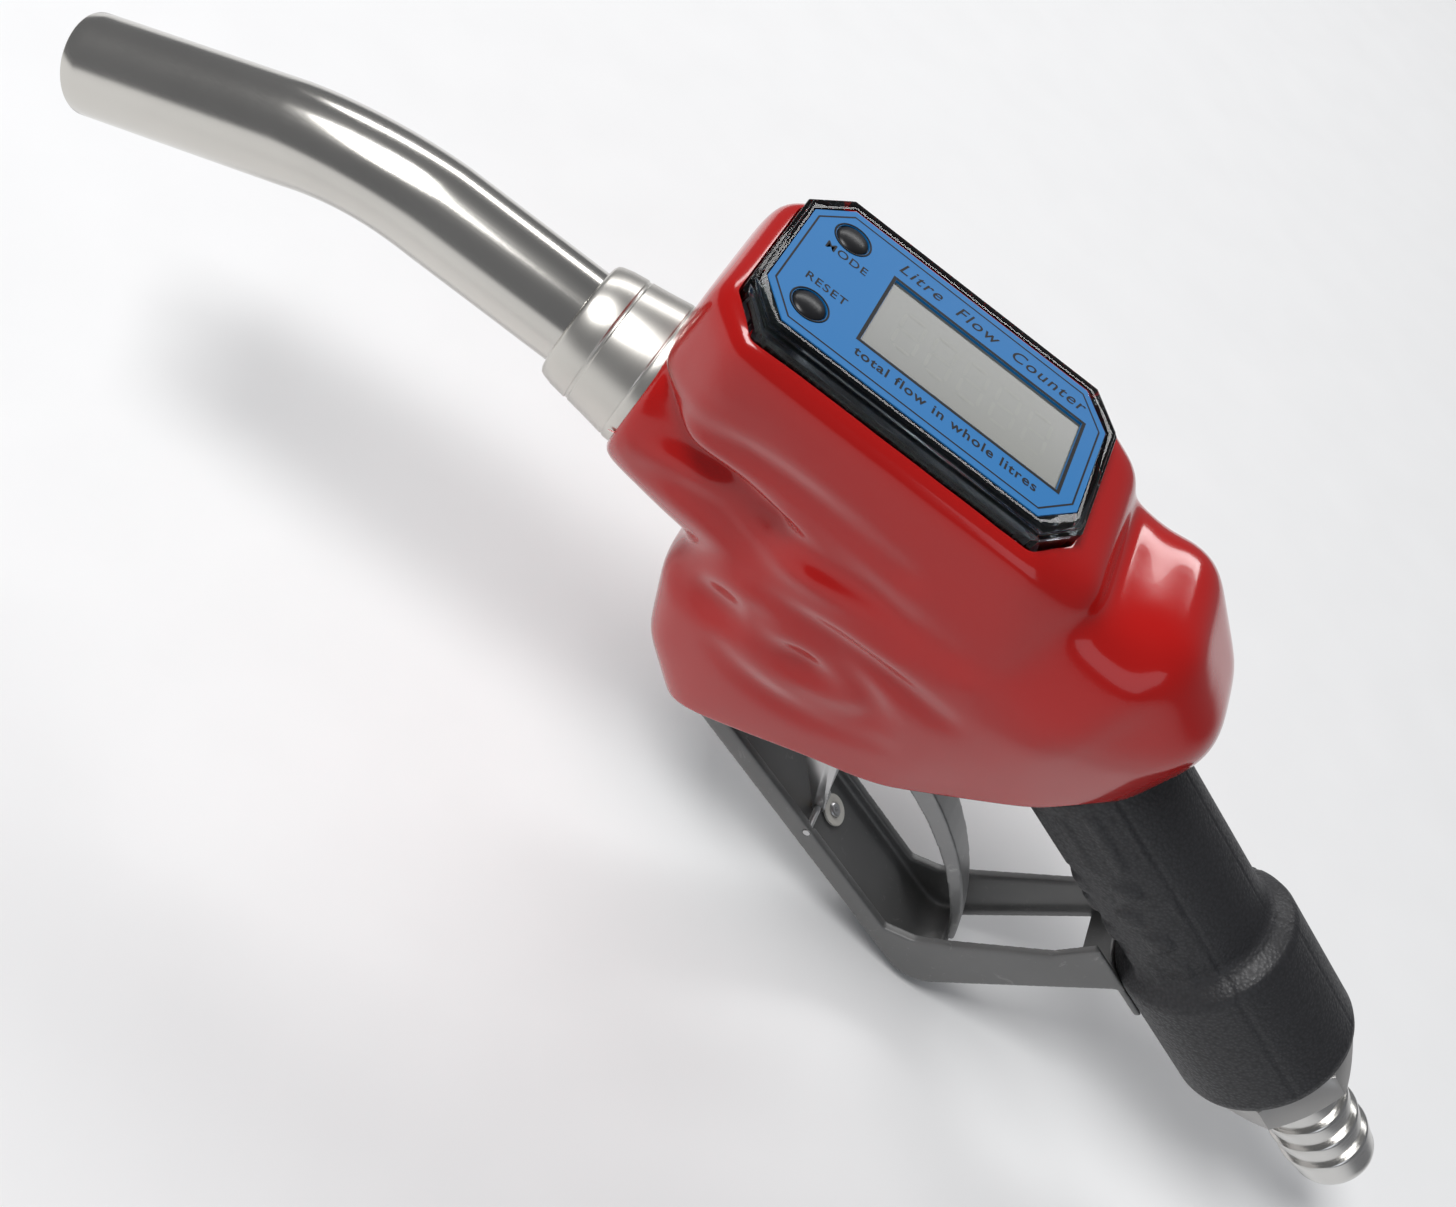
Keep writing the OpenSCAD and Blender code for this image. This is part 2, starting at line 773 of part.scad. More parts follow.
// Threads drawn as closed rings, one for each turn.
module thread_section() {
  ridges = [for (i = [0:turns_drawn - 1]) each [
    [thread_root_r, thread_top_s + i * thread_pitch],
    [thread_d / 2, thread_top_s + (i + 0.45) * thread_pitch],
    [thread_d / 2, thread_top_s + (i + 0.55) * thread_pitch]
  ]];
  end_s = thread_top_s + turns_drawn * thread_pitch;
  polygon(concat([[10, thread_top_s]], ridges, [[thread_root_r, end_s], [10, end_s]]));
}

module barb_section() {
  ridges = [for (i = [0:barb_count - 1]) each [
    [barb_d / 2, barb_s + 6 + i * barb_pitch],
    [barb_d / 2, barb_s + 7 + i * barb_pitch],
    [barb_root_r, barb_s + 6 + (i + 1) * barb_pitch - eps]
  ]];
  end_s = barb_s + barb_len;
  polygon(concat(
    [[9, barb_s - 1], [barb_root_r, barb_s - 1], [barb_root_r, barb_s + 6 - eps]],
    ridges,
    [[barb_root_r, end_s - 1.6], [barb_root_r - 1.2, end_s], [9, end_s]]
  ));
}

module tail_o_ring() {
  color("black") along_handle(hex_s - 1.3) o_ring(18.3, 1.25);
}

module tail_end_seal() {
  color("black") along_handle(thread_s + 2.2) tube(16.3, pilot_r + fit, 1.2);
}

// Soft cover
module ball(x, y, z, r) {
  for (side = [-1, 1]) {
    translate([x, side * y, z]) sphere(r = r, $fn = 28);
  }
}

// Outside form of the cover, or its inside form when shrunk by t.
module cover_form(t) {
  at_barrel() {
    hull() {
      ball(42, 18, 44, 6 - t);
      ball(34, 26, 44, 6 - t);
      ball(-38, 26, 44, 6 - t);
      ball(42, 17, 24, 6 - t);
      ball(30, 24, 20, 7 - t);
      ball(-50, 25, 22, 8 - t);
      ball(-60, 18, 42, 8 - t);
    }
    translate([-20, 0, 0]) rotate([0, 90, 0]) hull() {
      cylinder(r = 26 - t, h = 20, $fn = 48);
      cylinder(r = 24.5 - t, h = 45, $fn = 48);
      cylinder(r = 21.6 - t, h = 67 + (t > 0 ? 3 : 0), $fn = 48);
    }
    hull() {
      ball(8, 10, -32, 11 - t);
      ball(2, 9.5, -54, 9.5 - t);
      ball(-12, 10, -70, 8.5 - t);
      ball(-8, 20, 8, 13 - t);
      ball(-60, 20, 8, 13 - t);
      ball(-60, 12, -48, 9 - t);
    }
    hull() {
      ball(-31, 19.4, 12.6, 12.7 - t);
      ball(-68, 20.3, 10.2, 12.8 - t);
      ball(-70, 14, 36, 12 - t);
      ball(-90, 8, 18, 16 - t);
      ball(-93, 8, -2, 12 - t);
      ball(-62, 11.6, -46, 8.6 - t);
      ball(-88, 12, -22, 9 - t);
    }
  }
}

stud_z = 12;
stud_len = 11.3;
module cover() {
  color("firebrick") difference() {
    cover_form(0);
    cover_form(cover_t);
    at_barrel() translate([0, 0, 38]) linear_extrude(30) shell_outline(-0.5);
    along_barrel(20) cylinder(r = 19.3, h = 60);
    along_handle(10) cylinder(r = grip_r + 0.3, h = 90);
    side_profile(120) polygon([
      [60, -110], [40, -73], [-9, -70], [-39, -54], [-61, -42], [-88, -16], [-98, -6],
      [-130, 4], [-160, -110]
    ]);
  }
}

// Studs that stand out of the casting and carry the cover's sides.
module cover_studs() {
  color("black") for (x = [-36, -12], side = [-1, 1]) {
    at_barrel() translate([x, side * (saddle_w / 2 + eps), stud_z]) rotate([side * -90, 0, 0])
      cylinder(r = 2.5, h = stud_len);
  }
}

body_casting();
handle_grip();
inlet_screen();
hose_tail();
tail_o_ring();
tail_end_seal();
valve_seat();
poppet();
poppet_seal();
valve_stem();
poppet_spring();
valve_cap();
cap_o_ring();
stem_gland();
stem_o_ring();
turbine_rotor();
rotor_shaft();
front_support();
rear_support();
pickup_sensor();
clear_shell();
label_plate();
lcd_panel();
circuit_board();
mode_button();
reset_button();
switch_pair();
battery_tray();
battery_left();
battery_right();
battery_contacts();
module_gasket();
module_screws();
spout_tube();
spout_collar();
spout_o_ring();
guard_frame();
guard_screws();
lever();
lever_pin();
lever_bushes();
latch();
latch_pin();
latch_spring();
latch_rivet();
cover();
cover_studs();
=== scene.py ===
# %% [markdown]
# # A fuel nozzle with a flow meter
# The frame is a working model of the nozzle: casting, valve, turbine, lever, guard and screws, each
# with its true size and joint. This lesson gives it its looks. Every piece that shows gets a finished
# mesh or a finished material, and nothing that moves or fits is shifted from where the frame has it.

# %% Load the frame
import json
import math

import bmesh
import bpy
from mathutils import Matrix, Vector


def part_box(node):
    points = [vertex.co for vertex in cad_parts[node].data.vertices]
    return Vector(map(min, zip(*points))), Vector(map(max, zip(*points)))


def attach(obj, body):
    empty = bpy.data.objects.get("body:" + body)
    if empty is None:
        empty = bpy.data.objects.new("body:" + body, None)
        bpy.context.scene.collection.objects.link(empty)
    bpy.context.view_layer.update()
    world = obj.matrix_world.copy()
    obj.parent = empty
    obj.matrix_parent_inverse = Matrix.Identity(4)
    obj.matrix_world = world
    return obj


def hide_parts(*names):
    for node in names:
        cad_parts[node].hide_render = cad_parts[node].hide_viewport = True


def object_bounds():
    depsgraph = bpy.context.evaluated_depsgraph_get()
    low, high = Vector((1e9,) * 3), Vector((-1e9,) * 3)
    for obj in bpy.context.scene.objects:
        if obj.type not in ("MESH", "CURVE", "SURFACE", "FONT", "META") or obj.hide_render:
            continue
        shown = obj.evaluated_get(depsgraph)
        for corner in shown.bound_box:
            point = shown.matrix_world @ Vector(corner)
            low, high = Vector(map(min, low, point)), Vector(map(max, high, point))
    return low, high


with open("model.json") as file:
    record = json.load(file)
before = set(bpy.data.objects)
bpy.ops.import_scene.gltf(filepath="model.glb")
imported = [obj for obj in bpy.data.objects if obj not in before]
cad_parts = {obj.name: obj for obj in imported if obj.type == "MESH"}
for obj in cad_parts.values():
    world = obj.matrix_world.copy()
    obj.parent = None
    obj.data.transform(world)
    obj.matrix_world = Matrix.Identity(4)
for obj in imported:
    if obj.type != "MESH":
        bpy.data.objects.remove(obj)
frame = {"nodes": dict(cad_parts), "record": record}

cad_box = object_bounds()

# %% [markdown]
# ## Where things are
# All places are worked out from the frame. The barrel axis runs along X at the height of the spout
# collar, and the middle of the display is the zero along it. The handle leaves the barrel 25 degrees
# downwards, so its direction is read from the mount of the hose bore. Lengths are typed in millimetres.

# %% Places and directions
MM = 0.001
collar_low, collar_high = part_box("spout_collar")
label_low, label_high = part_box("label_plate")
AXIS_Z = (collar_low.z + collar_high.z) / 2
DISPLAY_X = (label_low.x + label_high.x) / 2 + 0.3 * MM
FACE = (label_high.z - AXIS_Z) / MM
HOSE_MOUNT = [m for m in frame["record"]["mounts"] if m["name"] == "hose_bore"][0]
TO_HOSE = Vector(HOSE_MOUNT["axis"]).normalized()
HANDLE_UP = Vector((TO_HOSE.z, 0, -TO_HOSE.x))
TAIL_END = 185.1
print("barrel axis at z", round(AXIS_Z, 4), "display face", round(FACE, 2), "mm above it")


def at(x, y, z):
    """A point given in millimetres from the barrel axis below the display, as a place in the frame."""
    return Vector((DISPLAY_X + x * MM, y * MM, AXIS_Z + z * MM))


def along(s, up=0.0, side=0.0):
    """A point s millimetres along the handle axis, measured from where it crosses the barrel axis."""
    return TO_HOSE * ((s - TAIL_END) * MM) + HANDLE_UP * (up * MM) + Vector((0, side * MM, 0))


BARREL = Matrix.Translation(at(0, 0, 0)) @ Matrix.Scale(MM, 4)
ALONG_BARREL = BARREL @ Matrix.Rotation(math.radians(90), 4, "Y")
HANDLE = Matrix((
    (HANDLE_UP.x * MM, 0, TO_HOSE.x * MM, along(0).x),
    (0, MM, 0, 0),
    (HANDLE_UP.z * MM, 0, TO_HOSE.z * MM, along(0).z),
    (0, 0, 0, 1),
))

# %% [markdown]
# ## Camera, floor and light
# The camera stands to the left of the nozzle and above it, looking down and across it, and is rolled
# so that the barrel runs from top left to bottom right. A short shift centres the whole nozzle in the
# frame. The light is a studio's: two large soft boxes, a strip for long highlights and a pale room.

# %% Camera
scene = bpy.context.scene
CAMERA_AT = at(43.26, 273.17, 243.08)
CAMERA_RIGHT = Vector((-0.797, -0.388, 0.462)).normalized()
CAMERA_FORWARD = Vector((-0.069, -0.702, -0.709)).normalized()
camera_up = CAMERA_RIGHT.cross(CAMERA_FORWARD).normalized()
camera_right = CAMERA_FORWARD.cross(camera_up).normalized()
camera_data = bpy.data.cameras.new("camera")
camera_data.sensor_width = 36.0
camera_data.lens = 38.4
camera_data.shift_x = 0.0245
camera_data.shift_y = -0.0526
camera_data.clip_start = 0.01
camera = bpy.data.objects.new("camera", camera_data)
camera.matrix_world = Matrix.Translation(CAMERA_AT) @ Matrix((
    (camera_right.x, camera_up.x, -CAMERA_FORWARD.x, 0),
    (camera_right.y, camera_up.y, -CAMERA_FORWARD.y, 0),
    (camera_right.z, camera_up.z, -CAMERA_FORWARD.z, 0),
    (0, 0, 0, 1),
))
scene.collection.objects.link(camera)
scene.camera = camera
print("camera", [round(v, 3) for v in camera.location])


# %% Materials toolkit
class Socket:
    """One output of a node. Arithmetic on it adds Math nodes to the material."""

    def __init__(self, made_by, output):
        self.made_by = made_by
        self.output = output

    def math(self, operation, first, second):
        return self.made_by.node("Math", {"operation": operation}, first, second)

    def __add__(self, other):
        return self.math("ADD", self, other)

    def __radd__(self, other):
        return self.math("ADD", other, self)

    def __sub__(self, other):
        return self.math("SUBTRACT", self, other)

    def __rsub__(self, other):
        return self.math("SUBTRACT", other, self)

    def __mul__(self, other):
        return self.math("MULTIPLY", self, other)

    def __rmul__(self, other):
        return self.math("MULTIPLY", other, self)

    def __truediv__(self, other):
        return self.math("DIVIDE", self, other)

    def __rtruediv__(self, other):
        return self.math("DIVIDE", other, self)


class Finish:
    """A procedural material, built up from its Principled shader."""

    def __init__(self, name, color=(0.5, 0.5, 0.5), **constants):
        self.material = bpy.data.materials.new(name)
        self.material.use_nodes = True
        self.tree = self.material.node_tree
        self.shader = self.tree.nodes["Principled BSDF"]
        self.shader.inputs["Base Color"].default_value = (*color, 1.0)
        for socket, value in constants.items():
            self.shader.inputs[socket.replace("_", " ")].default_value = value
        self.place = self.node("TexCoord", {}, output="Object")

    def node(self, kind, settings=None, *values, output=None, **named):
        """Adds a node: its settings first, then values or links for its sockets, by order or by name."""
        made = self.tree.nodes.new("ShaderNode" + kind)
        for key, value in (settings or {}).items():
            if key == "ramp":
                self.fill_ramp(made.color_ramp, value)
            else:
                setattr(made, key, value)
        pairs = list(enumerate(values)) + [(k.replace("_", " "), v) for k, v in named.items()]
        for key, value in pairs:
            if isinstance(value, Socket):
                self.tree.links.new(value.output, made.inputs[key])
            elif value is not None:
                made.inputs[key].default_value = value
        return Socket(self, made.outputs[output] if output else made.outputs[0])

    @staticmethod
    def fill_ramp(ramp, stops):
        for place, value in stops[2:]:
            ramp.elements.new(place)
        for element, (place, value) in zip(ramp.elements, stops):
            element.position = place
            element.color = (*value, 1.0) if isinstance(value, tuple) else (value, value, value, 1.0)

    def stretched(self, size, turn=(0, 0, 0), start=(0, 0, 0)):
        """Object coordinates, moved, turned and scaled, for patterns that run along a piece."""
        moved = self.node("Mapping", {"vector_type": "POINT"}, self.place,
                          Location=start, Rotation=turn, Scale=size)
        return moved

    def noise(self, scale, detail=3.0, roughness=0.5, where=None, distortion=0.0):
        return self.node("TexNoise", {}, output="Fac", Vector=where or self.place, Scale=scale,
                         Detail=detail, Roughness=roughness, Distortion=distortion)

    def ramp(self, value, *stops):
        return self.node("ValToRGB", {"ramp": stops}, value)

    def mix(self, factor, first, second):
        """A colour between two colours, by a factor."""
        first, second = ((*shade, 1.0) if isinstance(shade, tuple) else shade for shade in (first, second))
        unused = [None] * 5
        return self.node("Mix", {"data_type": "RGBA"}, factor, *unused, first, second, output=2)

    def bump(self, height, strength=0.3, distance=0.0002, under=None):
        return self.node("Bump", {}, Height=height, Strength=strength, Distance=distance, Normal=under)

    def feed(self, **links):
        """Links results to the shader: base color, roughness, metallic, coat weight or normal."""
        for socket, value in links.items():
            target = self.shader.inputs[socket.replace("_", " ")]
            if isinstance(value, Socket):
                self.tree.links.new(value.output, target)
            else:
                target.default_value = value
        return self.material


# %% [markdown]
# ## Helpers for meshes
# Every new piece starts as a bmesh drawn in millimetres, with the barrel or the handle along an axis.
# When its shape is done, one transform puts it in its place in metres, and it becomes an object that
# rides on a body of the frame. Modifiers are applied at once, so the mesh holds the finished shape.

# %% Mesh helpers
def as_object(bm, name, place=None):
    """Turns a finished bmesh into an object at the origin, with its place in its mesh."""
    if place is not None:
        bm.transform(place)
    mesh = bpy.data.meshes.new(name)
    bm.to_mesh(mesh)
    bm.free()
    made = bpy.data.objects.new(name, mesh)
    scene.collection.objects.link(made)
    return made


def apply_modifiers(piece):
    """Bakes a piece's modifiers into its mesh."""
    ready = piece.evaluated_get(bpy.context.evaluated_depsgraph_get())
    mesh = bpy.data.meshes.new_from_object(ready)
    piece.modifiers.clear()
    piece.data = mesh


def modify(piece, kind, **settings):
    """Adds one modifier with its settings and applies it."""
    modifier = piece.modifiers.new(kind.lower(), kind)
    for key, value in settings.items():
        setattr(modifier, key, value)
    apply_modifiers(piece)


def reshape(piece):
    """The piece's mesh as a bmesh, for more operators."""
    bm = bmesh.new()
    bm.from_mesh(piece.data)
    return bm


def put_back(bm, piece):
    bm.to_mesh(piece.data)
    bm.free()


def settle(piece, body, material, nodes=(), sharp=35):
    """Shades, finishes and fixes a piece to its body, and hides the CAD nodes it stands for."""
    piece.data.shade_smooth()
    if sharp:
        piece.data.set_sharp_from_angle(angle=math.radians(sharp))
    piece.data.materials.clear()
    piece.data.materials.append(material)
    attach(piece, body)
    if nodes:
        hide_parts(*nodes)
    piece.data.calc_loop_triangles()
    print(piece.name, "rides on", body, "with", len(piece.data.loop_triangles), "triangles")
    return piece


def turned(profile, steps=96, closed=True):
    """Spins a profile of (radius, height) points a full turn about Z."""
    bm = bmesh.new()
    verts = [bm.verts.new((r, 0, h)) for r, h in profile]
    pairs = list(zip(verts, verts[1:])) + ([(verts[-1], verts[0])] if closed else [])
    edges = [bm.edges.new(pair) for pair in pairs]
    bmesh.ops.spin(bm, geom=verts + edges, cent=(0, 0, 0), axis=(0, 0, 1),
                   angle=math.tau, steps=steps, use_merge=True)
    bmesh.ops.remove_doubles(bm, verts=bm.verts, dist=1e-4)
    bmesh.ops.recalc_face_normals(bm, faces=bm.faces)
    return bm


def copy_of(node, name):
    """A merged copy of a CAD node, with the flat faces in one piece again."""
    source = frame["nodes"][node]
    bm = bmesh.new()
    bm.from_mesh(source.data)
    bmesh.ops.remove_doubles(bm, verts=bm.verts, dist=1e-6)
    bmesh.ops.dissolve_limit(bm, angle_limit=math.radians(0.5), verts=bm.verts, edges=bm.edges)
    return as_object(bm, name)


def eased(piece, width, segments=3, angle=30):
    """Rounds a piece's edges, as machining or moulding leaves them."""
    modify(piece, "BEVEL", width=width * MM, segments=segments, limit_method="ANGLE",
           angle_limit=math.radians(angle), profile=0.5, use_clamp_overlap=True)
    return piece


def cast(piece, voxel, passes):
    """Remeshes a piece and smooths it, for the soft edges of a casting."""
    modify(piece, "REMESH", mode="VOXEL", voxel_size=voxel * MM)
    modify(piece, "SMOOTH", factor=0.5, iterations=passes)
    return piece


def smooth_line(points, steps=6):
    """Points on a soft curve through the given ones."""
    ends = [points[0]] + list(points) + [points[-1]]
    line = []
    for a, b, c, d in zip(ends, ends[1:], ends[2:], ends[3:]):
        for i in range(steps):
            t = i / steps
            line.append(tuple(0.5 * (2 * q + (r - p) * t + (2 * p - 5 * q + 4 * r - s) * t * t
                                     + (3 * q - p - 3 * r + s) * t ** 3)
                              for p, q, r, s in zip(a, b, c, d)))
    return line + [tuple(points[-1])]


# %% [markdown]
# ## Finishes for the working parts
# Metal, rubber and plastic differ first in how sharp their reflections are and then in the marks that
# making and use have left. Each finish below has its own grain: brushing along a tube, rings from a
# lathe, the orange-peel of a casting, the pebbles of moulded rubber.

# %% Metals
def turned_metal(name, color, roughness, axis, pitch=2600, depth=0.2):
    """Metal from a lathe: fine rings across the given axis, and slow smudges."""
    finish = Finish(name, color, Metallic=1.0, Roughness=roughness)
    run = finish.node("VectorMath", {"operation": "DOT_PRODUCT"}, finish.place, axis, output="Value")
    across = finish.node("CombineXYZ", {}, run * pitch)
    rings = finish.noise(1, detail=2, where=across)
    smudge = finish.noise(40, detail=4)
    shade = finish.mix(smudge, tuple(c * 0.86 for c in color), tuple(min(1.0, c * 1.08) for c in color))
    finish.feed(Base_Color=shade, Roughness=roughness + smudge * 0.12 + rings * 0.06,
                Normal=finish.bump(rings, depth, 0.00004))
    return finish.material


def brushed_metal(name, color, roughness, turn=0.0):
    """Tube drawn and brushed along its length, so the scratches run with it."""
    finish = Finish(name, color, Metallic=1.0, Roughness=roughness)
    lengthwise = finish.stretched((30, 1500, 1500), turn=(0, turn, 0))
    scratches = finish.noise(1, detail=3, where=lengthwise)
    smudge = finish.noise(25, detail=5, distortion=0.6)
    dark = tuple(c * 0.8 for c in color)
    finish.feed(Base_Color=finish.mix(smudge, dark, color),
                Roughness=roughness + scratches * 0.05 + smudge * 0.07,
                Normal=finish.bump(scratches, 0.05, 0.00004))
    return finish.material


def cast_metal(name, color, worn, roughness=0.42):
    """Die-cast metal: fine orange-peel, cloudy tone and a few bright scuffs."""
    finish = Finish(name, color, Metallic=0.75, Roughness=roughness)
    peel = finish.noise(900, detail=3)
    clouds = finish.noise(45, detail=4)
    scuffs = finish.ramp(finish.noise(170, detail=6, roughness=0.75, distortion=1.2), (0.60, 0.0), (0.74, 1.0))
    tone = finish.mix(clouds, tuple(c * 0.8 for c in color), tuple(c * 1.2 for c in color))
    finish.feed(Base_Color=finish.mix(scuffs * 0.6, tone, worn),
                Roughness=roughness + clouds * 0.14 - scuffs * 0.12,
                Normal=finish.bump(peel + scuffs * 0.4, 0.16, 0.00008))
    return finish.material


HOSE_AXIS = (abs(TO_HOSE.x), 0, abs(TO_HOSE.z))
SPOUT_STEEL = brushed_metal("spout_steel", (0.66, 0.64, 0.60), 0.13)
COLLAR_STEEL = turned_metal("collar_steel", (0.62, 0.60, 0.56), 0.24, (1, 0, 0))
PLAIN_STEEL = turned_metal("plain_steel", (0.60, 0.60, 0.60), 0.25, (0, 0, 1))
TAIL_STEEL = turned_metal("tail_steel", (0.68, 0.67, 0.65), 0.13, HOSE_AXIS, 1400)
HEX_STEEL = cast_metal("hexagon_steel", (0.42, 0.41, 0.40), (0.62, 0.61, 0.60), 0.34)
BRASS = turned_metal("brass", (0.72, 0.52, 0.24), 0.26, (0, 0, 1))
BODY_CAST = cast_metal("body_casting", (0.55, 0.55, 0.55), (0.75, 0.75, 0.74))
GUARD_CAST = cast_metal("guard_casting", (0.19, 0.19, 0.188), (0.36, 0.36, 0.35), 0.46)
LEVER_CAST = cast_metal("lever_casting", (0.30, 0.30, 0.30), (0.62, 0.62, 0.62), 0.40)
print("metals made")


# %% Rubbers and plastics
def black_rubber():
    finish = Finish("black_rubber", (0.015, 0.015, 0.015), Roughness=0.5)
    grain = finish.noise(1100, detail=3)
    finish.feed(Base_Color=finish.mix(grain, (0.010, 0.010, 0.010), (0.028, 0.028, 0.030)),
                Roughness=0.42 + grain * 0.2, Normal=finish.bump(grain, 0.15, 0.00005))
    return finish.material


def pebbled_rubber():
    """Grip rubber: moulded pebbles, shiny on top and dull between, with painted shade that darkens the hollows
    between them.
    """
    finish = Finish("grip_rubber", (0.016, 0.016, 0.018), Roughness=0.45)
    pebbles = finish.node("TexVoronoi", {"feature": "SMOOTH_F1"}, output="Distance", Vector=finish.place,
                          Scale=1150.0, Smoothness=0.6)
    fine = finish.noise(2600, detail=2)
    height = (1 - pebbles) + fine * 0.25
    wear = finish.noise(35, detail=3)
    # Painted shade: the base colour is lighter on the pebble tops and darker in the hollows between them.
    finish.feed(Base_Color=finish.mix(pebbles, (0.024, 0.024, 0.027), (0.010, 0.010, 0.011)),
                Roughness=0.34 + pebbles * 0.25 + wear * 0.12, Normal=finish.bump(height, 0.55, 0.00022))
    return finish.material


def moulded_plastic(name, color, roughness=0.4):
    finish = Finish(name, color, Roughness=roughness)
    grain = finish.noise(1600, detail=2)
    clouds = finish.noise(60, detail=3)
    dark, light = tuple(c * 0.85 for c in color), tuple(min(1.0, c * 1.1) for c in color)
    finish.feed(Base_Color=finish.mix(clouds, dark, light),
                Roughness=roughness + grain * 0.12, Normal=finish.bump(grain, 0.12, 0.00005))
    return finish.material


def wrapped_cell():
    """Battery sleeve: printed film, streaked from one tone to another."""
    finish = Finish("battery_wrap", (0.7, 0.32, 0.05), Roughness=0.3, Metallic=0.3)
    streak = finish.noise(300, detail=2)
    finish.feed(Base_Color=finish.mix(streak, (0.62, 0.26, 0.04), (0.80, 0.40, 0.08)),
                Roughness=0.24 + streak * 0.15)
    return finish.material


def board_lacquer():
    finish = Finish("board_lacquer", (0.012, 0.014, 0.013), Roughness=0.3)
    traces = finish.node("TexBrick", {"offset": 0.3}, output="Fac", Vector=finish.place, Scale=260.0,
                         Mortar_Size=0.04)
    finish.feed(Base_Color=finish.mix(traces, (0.010, 0.013, 0.012), (0.035, 0.040, 0.034)),
                Roughness=0.28 + traces * 0.1, Normal=finish.bump(traces, 0.2, 0.00005))
    return finish.material


def clear_plastic():
    """Water-clear shell with a cool tint, fine moulding haze and a faint ripple."""
    finish = Finish("clear_plastic", (0.88, 0.95, 1.0), Roughness=0.02, IOR=1.25, Transmission_Weight=1.0)
    haze = finish.ramp(finish.noise(220, detail=5, roughness=0.7), (0.55, 0.0), (0.80, 1.0))
    finish.feed(Roughness=0.02 + haze * 0.10, Normal=finish.bump(finish.noise(70, detail=1), 0.04, 0.0004))
    return finish.material


BLACK_RUBBER = black_rubber()
GRIP_RUBBER = pebbled_rubber()
BLACK_PLASTIC = moulded_plastic("black_plastic", (0.014, 0.014, 0.015), 0.36)
WHITE_PLASTIC = moulded_plastic("white_plastic", (0.72, 0.70, 0.64), 0.38)
BATTERY_WRAP = wrapped_cell()
BOARD = board_lacquer()
CLEAR = clear_plastic()
print("rubbers and plastics made")

# %% [markdown]
# ## Finish: red dipped vinyl
# The cover is a thick soft vinyl moulding with a wet shine. A smooth base with a thin coat gives the
# crisp soft-box reflections. The dipped skin is never quite flat, so a slow, faint bump bends them.

# %% Red vinyl
def red_vinyl():
    finish = Finish("red_vinyl", (0.42, 0.004, 0.003), Roughness=0.14, IOR=1.42, Coat_Roughness=0.03)
    clouds = finish.noise(18, detail=2)
    base = finish.mix(clouds, (0.46, 0.005, 0.003), (0.38, 0.003, 0.002))
    dust = finish.noise(900, detail=4, roughness=0.7)
    specks = finish.ramp(dust, (0.68, 0.0), (0.76, 1.0))
    rough = 0.12 + clouds * 0.06 + specks * 0.12
    ripple = finish.bump(finish.noise(60, detail=1), 0.25, 0.0006)
    skin = finish.bump(finish.noise(420, detail=2), 0.10, 0.0001, under=ripple)
    finish.feed(Base_Color=base, Roughness=rough, Coat_Weight=0.30 - specks * 0.2, Normal=skin)
    return finish.material


COVER_RED = red_vinyl()

# %% [markdown]
# ## Finishes on the frame's own nodes
# Parts whose CAD shape is already right keep it and only get a finish. That is done by the record's
# slot names, so that a node added to the frame later is finished too.

# %% Assign by slot
def printed_film(name, dark, light, roughness):
    """A smooth printed or glazed film, clouded from one tone to another."""
    finish = Finish(name, light, Roughness=roughness, Specular_IOR_Level=0.3)
    clouds = finish.noise(22, detail=1)
    finish.feed(Base_Color=finish.mix(clouds, dark, light), Roughness=roughness + clouds * 0.08)
    return finish.material


LABEL_PLAIN = printed_film("label_film", (0.004, 0.145, 0.40), (0.006, 0.165, 0.44), 0.42)
BUTTON_RUBBER = printed_film("button_rubber", (0.008, 0.008, 0.009), (0.016, 0.016, 0.017), 0.26)
LCD_PLAIN = printed_film("lcd_film", (0.055, 0.058, 0.050), (0.155, 0.160, 0.140), 0.14)
BY_SLOT = {
    "casting": BODY_CAST, "guard_metal": GUARD_CAST, "lever_metal": LEVER_CAST,
    "grip_rubber": GRIP_RUBBER, "black_rubber": BLACK_RUBBER, "cover_red": COVER_RED,
    "spout_metal": SPOUT_STEEL, "collar_metal": COLLAR_STEEL, "tail_metal": PLAIN_STEEL,
    "steel": PLAIN_STEEL, "brass": BRASS, "clear": CLEAR, "label_blue": LABEL_PLAIN,
    "lcd_grey": LCD_PLAIN, "board_green": BOARD, "black_plastic": BLACK_PLASTIC,
    "white_plastic": WHITE_PLASTIC, "battery_wrap": BATTERY_WRAP,
}
for part in frame["record"]["subparts"]:
    node = frame["nodes"][part["node"]]
    for place in node.material_slots:
        place.material = BY_SLOT[part["material_slot"]]
print("finished", len(frame["nodes"]), "nodes in", len(BY_SLOT), "finishes")

# %% [markdown]
# ## The soft cover
# The cover is one moulding that wraps the barrel, the meter and the root of the handle. A sculptor
# would model it by hand. Here its body is four convex hulls of balls, joined by a voxel remesh and
# relaxed by many smoothing passes, which leaves the slow fillets of a soft moulding between them.
# The flutes are then pressed along lines on its sides, and the openings are cut last.

# %% Body of the cover
COVER_HULLS = [
    [(42, 18, 44, 6), (34, 26, 44, 6), (-38, 26, 44, 6), (42, 17, 24, 6), (30, 24, 20, 7),
     (-48, 25, 22, 8), (-50, 20, 40, 8)],
    [(8, 10, -32, 11), (2, 9.5, -54, 9.5), (-12, 10, -70, 8.5), (-8, 20, 8, 13), (-60, 20, 8, 13),
     (-60, 12, -48, 9)],
    [(-31, 19.4, 12.6, 12.7), (-68, 20.3, 10.2, 12.8), (-77, 12, 32, 13), (-90, 8, 18, 16),
     (-93, 8, -2, 12), (-62, 11.6, -46, 8.6), (-88, 12, -22, 9)],
    [(-46, 20, 33, 8), (-74, 16, 28, 12), (-48, 24, 12, 10), (-72, 20, 14, 12)],
]
LIP_RINGS = [(-20, 26), (0, 26), (25, 24.5), (47, 21.6)]


